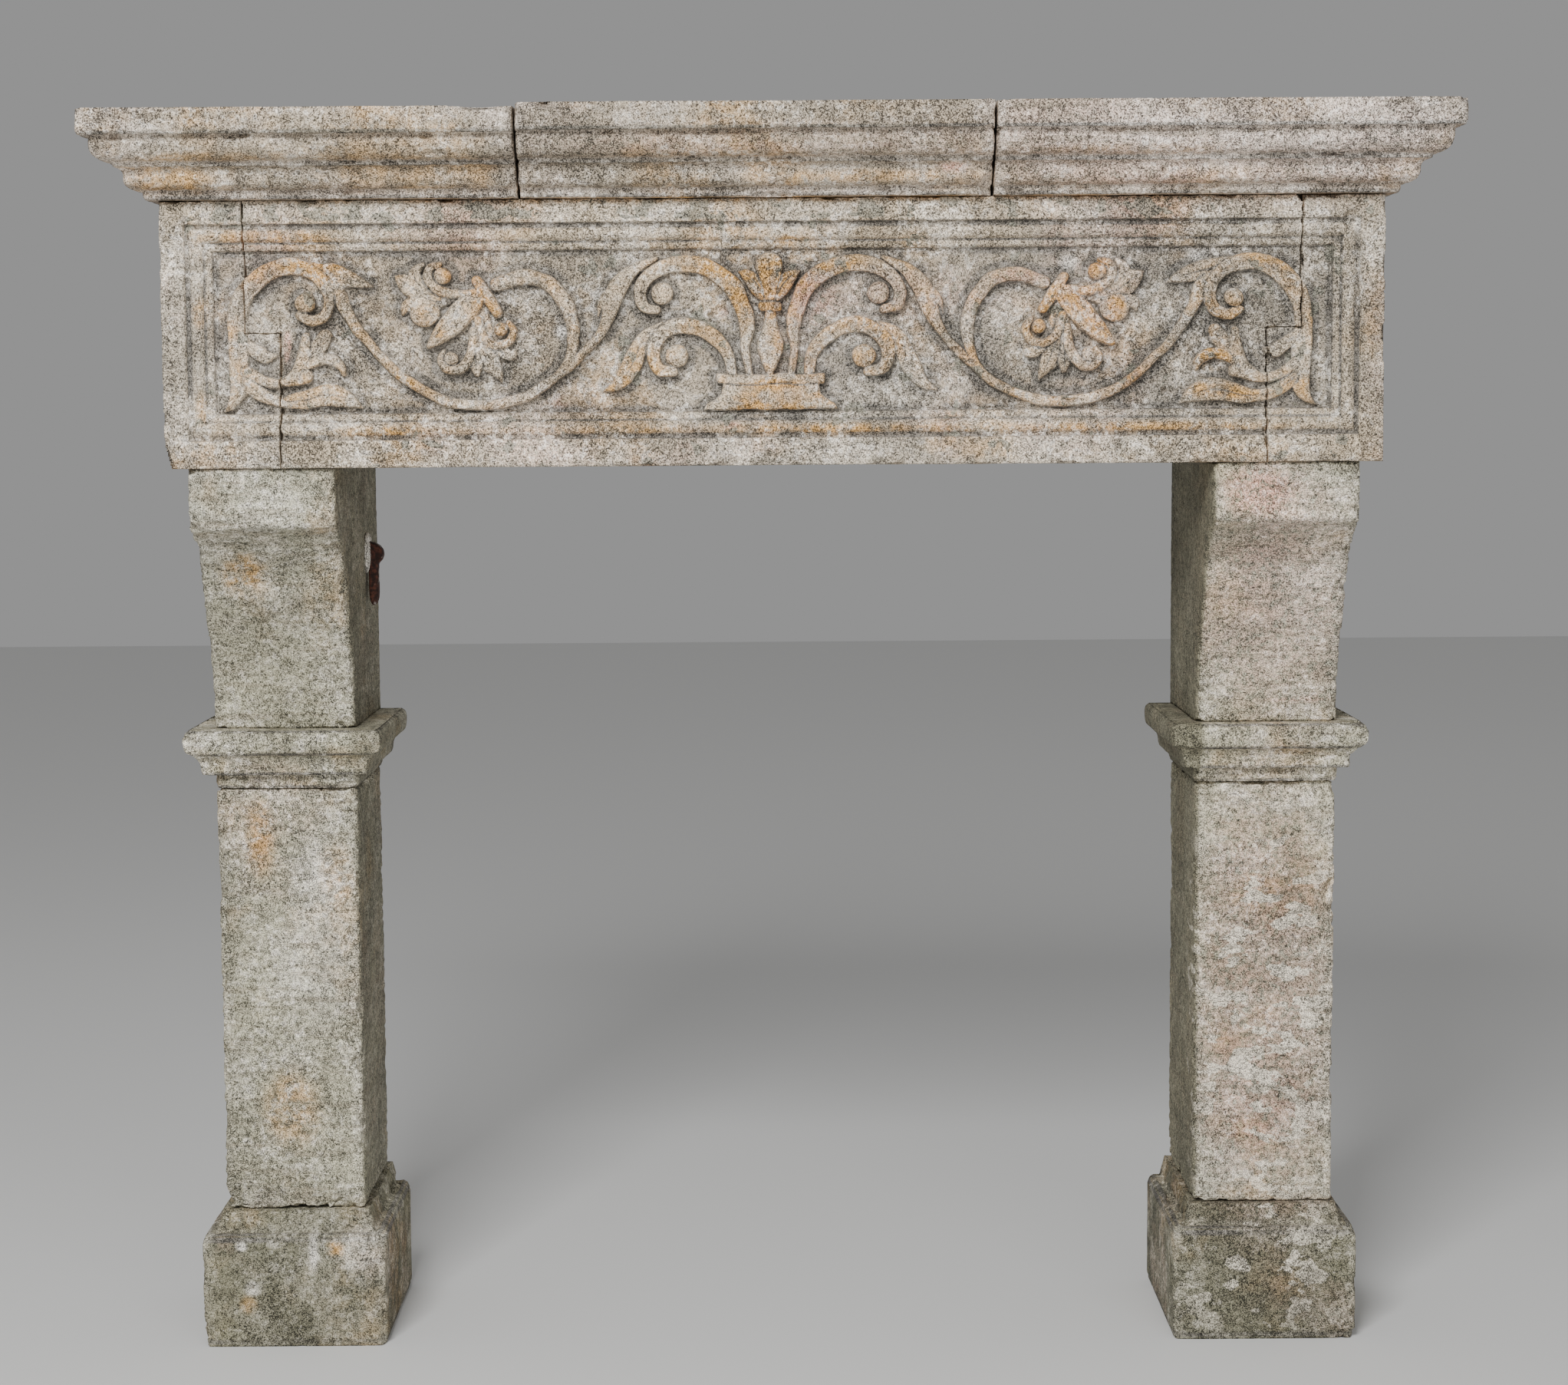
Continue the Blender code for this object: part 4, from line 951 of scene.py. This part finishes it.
def carvedStone(node, grid, outlineCells, shape):
    # A stone of the frieze: its part of the carved front, sides drawn back to its depth, and a flat back
    xs, zs, depth, relief, shadeAndDirt = grid
    low, high = (np.array(c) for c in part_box(node))
    front, back = shape["front"], high[1]
    cells = outlineCells(0.5 * (xs[1:] + xs[:-1])[None, :], 0.5 * (zs[1:] + zs[:-1])[:, None])
    columns = len(xs)
    rows, cols = np.nonzero(cells)
    corner = rows * columns + cols
    quads = np.column_stack([corner, corner + 1, corner + columns + 1, corner + columns])
    used, quads = np.unique(quads, return_inverse=True)
    quads = quads.reshape(-1, 4)
    j, i = np.divmod(used, columns)
    x, z = xs[i], zs[j]
    ends = np.concatenate([quads[:, [k, (k + 1) % 4]] for k in range(4)])
    keys = ends[:, 0] * len(used) + ends[:, 1]
    backs = ends[:, 1] * len(used) + ends[:, 0]
    edges = ends[~np.isin(keys, backs)]
    follow = dict(edges.tolist())
    loop = [edges[0][0]]
    while follow[loop[-1]] != loop[0]:
        loop.append(follow[loop[-1]])
    loop = np.array(loop)
    distance = np.full(len(used), 1.0)
    for k in loop[::2]:
        distance = np.minimum(distance, np.maximum(np.abs(x - x[k]), np.abs(z - z[k])))
    arris = shape["arris"]
    fall = 1 - np.clip(distance / arris, 0, 1)
    points = np.column_stack([x, front + depth[j, i] + arris * (1 - np.sqrt(1 - 0.98 * fall**2)), z])
    worn = np.exp(-(distance / wear["arrisReach"]) ** 2)
    marks = [worn, relief[j, i] / friezeFrame["carvingHeight"], shadeAndDirt[j, i]]
    start, total = loop, len(used)
    layers, faces = [points], [quads]
    extra = [np.zeros((0, 3))]
    slices = int((back - front) / shape["deepStep"]) + 2
    rim = points[loop]
    for step in range(1, slices):
        share = step / (slices - 1)
        ring = rim.copy()
        ring[:, 1] = rim[:, 1] + (back - rim[:, 1]) * share
        end = np.arange(total, total + len(loop))
        faces.append(np.column_stack([np.roll(start, -1), start, end, np.roll(end, -1)]))
        layers.append(ring)
        edge = math.exp(-((back - front) * (1 - share) / wear["arrisReach"]) ** 2) * 0.5
        extra.append(np.column_stack([np.full(len(loop), edge), np.zeros(len(loop)), np.zeros(len(loop))]))
        start, total = end, total + len(loop)
    extra = np.vstack(extra)
    faceList = np.vstack(faces).tolist()
    faceList.append(start.tolist())
    points = np.vstack(layers)
    labels = ("worn", "relief", "shadeAndDirt")
    marks = {label: np.concatenate([marks[k], extra[:, k]]) for k, label in enumerate(labels)}
    return meshFrom(node + "_stone", points, faceList, marks)


def gridLines(low, high, spacing, kept):
    # Evenly spaced lines that also fall on the kept places
    stops = sorted({low, high, *(k for k in kept if low < k < high)})
    counts = [max(2, int(round((b - a) / spacing)) + 1) for a, b in zip(stops, stops[1:])]
    lines = [np.linspace(a, b, count)[:-1] for a, b, count in zip(stops, stops[1:], counts)]
    return np.append(np.concatenate(lines), high)


frieze = {
    "spacing": 0.0017, "arris": 0.0035, "deepStep": 0.011, "lowerHalf": 0.7445,
    "shoulderHeight": 0.203, "bed": 0.0003, "lostBlockCorner": (0.009, 0.036), "lostLintelCorner": 0.016,
}


def friezeStones():
    upper, lower = lintelHigh[0], rightLow[0]
    top, foot = lintelHigh[2], lintelLow[2]
    shoulder = foot + frieze["shoulderHeight"]
    lowerHalf, bed = frieze["lowerHalf"], frieze["bed"]
    innerUpper = upper + (lower - lowerHalf)
    stops = [-upper, upper, -innerUpper, innerUpper, -lower, lower, -lowerHalf, lowerHalf]
    xs = gridLines(blockLow[0], rightHigh[0], frieze["spacing"], stops)
    zs = gridLines(foot, top, frieze["spacing"], [shoulder, shoulder - bed])
    relief = reliefGrid(xs, zs)
    depth = frontDepth(xs, zs, relief)
    # Painted shade, partly dirt: darker beside the relief and in inner corners, and darker where the field
    # lies deep
    shadeAndDirt = np.clip((depth - blurred(depth, 7)) / 0.007, 0, 0.7) + np.clip((depth - 0.009) / 0.03, 0, 0.25)
    shadeAndDirt += np.clip((depth - blurred(depth, 2)) / 0.0025, 0, 0.9)
    print("relief drawn on", relief.shape, "grid")
    grid = (xs, zs, depth, relief, shadeAndDirt)
    shape = {**frieze, "front": blockLow[1]}

    def lintelCells(x, z):
        kept = np.abs(x) < np.where(z > shoulder, upper, lowerHalf)
        radius = frieze["lostLintelCorner"]
        right, above = x - upper + radius, z - top + radius
        return kept & ~((right > 0) & (above > 0) & (right**2 + above**2 > radius**2))

    def blockCells(sign):
        def cells(x, z):
            kept = sign * x > np.where(z > shoulder - bed, innerUpper, lower)
            wide, tall = frieze["lostBlockCorner"]
            if sign < 0:
                kept = kept & ((x - blockLow[0]) / wide + (z - foot) / tall > 1)
            return kept
        return cells

    for node, cells in (("frieze_lintel", lintelCells), ("frieze_block_left", blockCells(-1)),
                        ("frieze_block_right", blockCells(1))):
        yield node, carvedStone(node, grid, cells, shape)


# The iron and its mortar

ironwork = {"hookVoxel": 0.0018, "mortarVoxel": 0.002}


def rustMaterial():
    made, shader, kit = newMaterial("rustedIron")
    place = kit.add("ShaderNodeTexCoord", output=3)
    flakes = kit.add("ShaderNodeTexNoise", {}, {"Vector": place, "Scale": 160.0, "Detail": 4.0})
    broad = kit.add("ShaderNodeTexNoise", {}, {"Vector": place, "Scale": 40.0, "Detail": 3.0})
    colour = kit.blend(flakes.between(0.4, 0.65), (0.03, 0.014, 0.011), (0.12, 0.042, 0.026))
    colour = kit.blend(broad.between(0.56, 0.62), colour, (0.42, 0.40, 0.37))
    made.node_tree.links.new(colour.socket, shader.inputs["Base Color"])
    bump = kit.add("ShaderNodeBump", {}, {"Strength": 0.8, "Distance": 0.002, "Height": flakes + broad * 0.5})
    made.node_tree.links.new(bump.socket, shader.inputs["Normal"])
    shader.inputs["Roughness"].default_value = 0.82
    shader.inputs["Metallic"].default_value = 0.25
    return made


def fineCopy(node, name, voxel):
    # A finely meshed copy of a frame solid
    obj = placed(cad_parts[node].copy())
    obj.data = obj.data.copy()
    obj.data.materials.clear()
    obj.name = name
    obj.parent = None
    remesh = obj.modifiers.new("fine", "REMESH")
    remesh.mode, remesh.voxel_size = "VOXEL", voxel
    smooth = obj.modifiers.new("soft", "SMOOTH")
    smooth.factor, smooth.iterations = 0.5, 4
    plain(obj)
    obj.data.shade_smooth()
    return obj


# Where a stone has more triangles than this, its mesh is thinned

mostTriangles = {
    "plinth": 37000, "jamb": 57000, "shelf": 85000, "frieze": 88000, "frieze_lintel": 180000,
}


# What time has done to single places, in millimetres across and up from the middle of the base

# Breaks are (x, z, half width, half height, depth), and one at an arris has its middle beside the stone
breaks = {
    "cornice_left": [
        (-1012, 1925, 10, 12, 10), (-770, 1899, 20, 6, 8), (-575, 1858, 5, 4, 12),
        (-965, 1845, 20, 10, 8), (-440, 1941, 62, 12, 30), (-500, 1868, 30, 6, 6), (-880, 1905, 20, 5, 6),
    ],
    "cornice_centre": [
        (10, 1809, 50, 8, 14), (322, 1938, 12, 10, 20), (-200, 1906, 30, 5, 5), (120, 1862, 25, 6, 6),
        (-330, 1937, 20, 6, 14), (200, 1812, 30, 6, 8), (330, 1806, 36, 36, 34),
    ],
    "cornice_right": [
        (580, 1842, 7, 7, 14), (1018, 1940, 12, 12, 20), (700, 1906, 20, 5, 6), (360, 1815, 20, 8, 10),
    ],
    "console_left": [
        (-897, 1260, 18, 45, 14), (-896, 1125, 14, 20, 12), (-845, 1322, 28, 10, 12),
        (-685, 1325, 12, 10, 12), (-790, 1148, 4, 4, 10), (-765, 998, 18, 6, 8), (-690, 998, 12, 7, 10),
        (-661, 1180, 12, 30, 10),
    ],
    "console_right": [
        (720, 1322, 16, 9, 10), (899, 1208, 24, 14, 18), (661, 1100, 12, 30, 9), (896, 1050, 13, 20, 9),
    ],
    "shaft_left": [
        (-657, 543, 22, 26, 22), (-898, 232, 20, 20, 18), (-896, 750, 14, 30, 9), (-660, 360, 12, 30, 8),
        (-897, 560, 16, 25, 12),
    ],
    "shaft_right": [
        (829, 609, 5, 5, 10), (658, 450, 16, 30, 12), (896, 330, 14, 30, 9),
    ],
    "collar_left": [
        (-820, 905, 30, 6, 8), (-680, 905, 20, 6, 8), (-928, 975, 14, 14, 12),
    ],
    "collar_right": [
        (928, 972, 12, 14, 10), (700, 905, 20, 5, 6),
    ],
    "plinth_left": [
        (-622, 194, 42, 42, 50), (-843, 96, 6, 6, 12), (-622, 2, 24, 24, 24), (-934, 194, 24, 24, 22),
    ],
    "plinth_right": [
        (620, 194, 26, 26, 26), (936, 194, 26, 26, 26), (934, 4, 20, 22, 20),
    ],
    "frieze_block_left": [
        (-734, 1588, 7, 24, 10), (-872, 1520, 6, 30, 6),
    ],
    "frieze_block_right": [
        (872, 1766, 22, 22, 12), (878, 1635, 6, 14, 8),
    ],
    "frieze_lintel": [
        (-95, 1635, 6, 6, 12), (590, 1517, 6, 6, 12), (450, 1503, 20, 6, 10), (270, 1575, 20, 10, 10),
    ],
}

# Stains are (x, z, half width, half height, strength). They reach stainDepth metres behind the foremost point
stainDepth = {"console": 0.26, "others": 0.08}
stains = {
    "ochre": [
        (-700, 1710, 45, 12, 0.8), (-5, 1682, 32, 45, 0.5), (-755, 1752, 110, 12, 0.5),
        (-862, 1640, 10, 22, 0.6), (-862, 1500, 10, 22, 0.6), (40, 1461, 720, 10, 0.4),
        (-610, 1461, 55, 11, 0.5), (100, 1461, 110, 11, 0.45), (575, 1461, 190, 11, 0.45),
        (0, 1806, 880, 4, 0.6), (675, 1515, 60, 12, 0.6), (667, 1563, 24, 16, 0.7),
        (487, 1700, 15, 13, 0.8), (515, 1650, 15, 13, 0.8), (0, 1495, 70, 5, 0.6), (0, 1530, 60, 5, 0.6),
        (22, 1745, 24, 8, 0.5), (-915, 1838, 70, 26, 0.6), (-820, 1240, 34, 34, 0.9),
        (-850, 70, 14, 14, 0.7), (-710, 160, 14, 12, 0.7), (-820, 820, 22, 60, 0.7),
        (-700, 760, 26, 50, 0.5), (-780, 380, 44, 60, 0.5), (150, 1836, 180, 10, 0.5),
        (520, 1868, 120, 10, 0.6), (700, 1838, 90, 9, 0.4), (-850, 1866, 90, 8, 0.4),
    ],
    "rose": [
        (60, 1660, 32, 42, 0.5), (150, 1660, 150, 42, 0.3), (375, 1690, 48, 14, 0.5),
        (730, 1365, 55, 36, 0.8), (680, 1870, 360, 75, 0.45), (268, 1848, 20, 7, 0.9),
        (777, 560, 125, 360, 0.45), (777, 1190, 125, 180, 0.45), (0, 1885, 330, 26, 0.3),
        (-734, 1588, 7, 26, 1.3), (-325, 1502, 14, 10, 0.6), (-65, 1468, 12, 6, 0.6),
        (-75, 1640, 8, 8, 0.6), (830, 1028, 52, 4, 0.5),
    ],
    # Places that are darkened; the same mark carries the painted shade of the jambs' inner faces
    "soot": [
        (777, 560, 125, 360, 0.12), (-885, 560, 38, 340, 0.4), (-777, 235, 120, 60, 0.35),
        (-790, 1150, 130, 180, 0.42), (-780, 50, 160, 90, 0.5), (777, 60, 160, 90, 0.35),
        (-80, 1875, 330, 80, 0.3), (-700, 1870, 300, 70, 0.25),
    ],
    "film": [
        (-640, 1790, 24, 12, 1.6), (-425, 1790, 32, 14, 1.6), (-650, 1783, 10, 4, 1.0),
        (-750, 1798, 8, 8, 1.0), (400, 1795, 30, 15, 1.0), (45, 1790, 8, 18, 1.0),
        (520, 1790, 90, 12, 0.8), (0, 1437, 700, 12, 0.6), (-655, 1437, 7, 10, 1.0),
    ],
    "pale": [
        (720, 1890, 340, 66, 0.5), (777, 1200, 120, 170, 0.22), (-725, 680, 50, 170, 0.35),
        (-320, 1610, 10, 10, 0.8), (445, 1710, 12, 10, 0.8), (640, 1720, 14, 9, 0.8),
        (-670, 155, 32, 38, 0.4), (-745, 155, 7, 30, 0.9), (-860, 165, 9, 7, 0.9),
        (-843, 96, 12, 12, 0.9),
    ],
    "flaky": [
        (777, 520, 130, 370, 1.0), (777, 100, 160, 90, 0.6), (-777, 1230, 120, 200, 0.25),
    ],
}


# Stage

studio = {
    "floorSize": 14.0, "floorColour": (0.74, 0.74, 0.73, 1),
    "air": (0.86, 0.86, 0.86, 1), "airStrength": 0.36, "lookAt": (0, 0, 1.0),
    "lamps": {"key": ((-1.25, -4.8, 4.2), 1.9, 370), "fill": ((2.2, -6.0, 2.2), 3.0, 70)},
}


def stage():
    corners = [(-1, -1, 0), (1, -1, 0), (1, 1, 0), (-1, 1, 0)]
    floor = meshFrom("floor", np.array(corners, float) * studio["floorSize"], [[0, 1, 2, 3]])
    paint, shader, _ = newMaterial("paleFloor")
    shader.inputs["Base Color"].default_value = studio["floorColour"]
    shader.inputs["Roughness"].default_value = 0.9
    floor.data.materials.append(paint)
    world = bpy.data.worlds.new("studio")
    bpy.context.scene.world = world
    world.use_nodes = True
    sky = world.node_tree.nodes["Background"]
    sky.inputs[0].default_value, sky.inputs[1].default_value = studio["air"], studio["airStrength"]
    for name, (place, size, power) in studio["lamps"].items():
        light = bpy.data.lights.new(name, "AREA")
        light.size, light.energy = size, power
        lamp = placed(bpy.data.objects.new(name, light))
        lamp.location = place
        aim = Vector(studio["lookAt"]) - Vector(place)
        lamp.rotation_euler = aim.to_track_quat("-Z", "Y").to_euler()


cameraPose = {
    "place": (-0.008, -4.8407, 1.514), "yaw": 0.00433, "pitch": -0.09676, "roll": -0.00665,
    "focal": 70.45, "sensor": 36.0,
}


def camera():
    yaw, pitch, roll = cameraPose["yaw"], cameraPose["pitch"], cameraPose["roll"]
    ahead = Vector((math.sin(yaw) * math.cos(pitch), math.cos(yaw) * math.cos(pitch), math.sin(pitch)))
    level = Vector((math.cos(yaw), -math.sin(yaw), 0))
    above = level.cross(ahead)
    right = level * math.cos(roll) + above * math.sin(roll)
    up = above * math.cos(roll) - level * math.sin(roll)
    lens = bpy.data.cameras.new("camera")
    lens.lens, lens.sensor_width = cameraPose["focal"], cameraPose["sensor"]
    obj = placed(bpy.data.objects.new("camera", lens))
    turn = Matrix((right, up, -ahead)).transposed().to_4x4()
    obj.matrix_world = Matrix.Translation(cameraPose["place"]) @ turn
    bpy.context.scene.camera = obj


# What the weathering tree gets, in metres
weathering = {
    "usual": {"Unevenness": 0.0012, "Pitting": 0.0016, "Chips": 0.010, "Tooling": 0.0, "Tool Spacing": 0.02},
    "plinth": {"Chips": 0.012}, "shaft": {"Tooling": 0.0007}, "collar": {"Chips": 0.007},
    "console": {"Tooling": 0.0004}, "cornice": {"Chips": 0.007},
    "frieze": {"Unevenness": 0.0008, "Pitting": 0.0008, "Chips": 0.005},
}


def main():
    camera()
    stage()
    print("camera, floor and lights set")
    tree = weatherTree()
    looks = {}
    for number, (family, look) in enumerate(stoneLooks.items()):
        shift = (number * 1.3, 0.7, 0.2)
        looks[family] = stoneMaterial(family + "Stone", {**commonLook, **look, "shift": shift})
    print("stone looks made:", *looks)
    jobs = []
    for seed, side in enumerate(("left", "right")):
        jobs += [("plinth_" + side, plinthStone, "plinth", seed + 1.0),
                 ("shaft_" + side, shaftStone, "jamb", seed + 3.0),
                 ("collar_" + side, collarStone, "jamb", seed + 5.0),
                 ("console_" + side, consoleStone, "jamb", seed + 7.0)]
    for seed, place in enumerate(("left", "centre", "right")):
        jobs.append(("cornice_" + place, shelfStone, "shelf", seed + 11.0))
    made = [(node, build(node), family, seed) for node, build, family, seed in jobs]
    made += [(node, stone, "frieze", seed + 21.0) for seed, (node, stone) in enumerate(friezeStones())]
    print("stones shaped:", len(made))
    for node, stone, family, seed in made:
        amounts = {**weathering["usual"], **weathering[node.split("_")[0]], "Seed": seed}
        throughTree(stone, tree, looks[family], amounts)
        scooped(stone, breaks.get(node, ()))
        stained(stone, family)
        thinned(stone, mostTriangles.get(node, mostTriangles[family]))
        finished(stone, node, family + "_stone")
    hook = fineCopy("iron_hook", "rustyHook", ironwork["hookVoxel"])
    hook.data.materials.append(rustMaterial())
    finished(hook, "iron_hook", "rusted_iron")
    mortar = fineCopy("hook_mortar", "mortarDab", ironwork["mortarVoxel"])
    mortar.data.materials.append(stoneMaterial("limeMortar", {**commonLook, **mortarLook}))
    finished(mortar, "hook_mortar", "lime_mortar")


main()
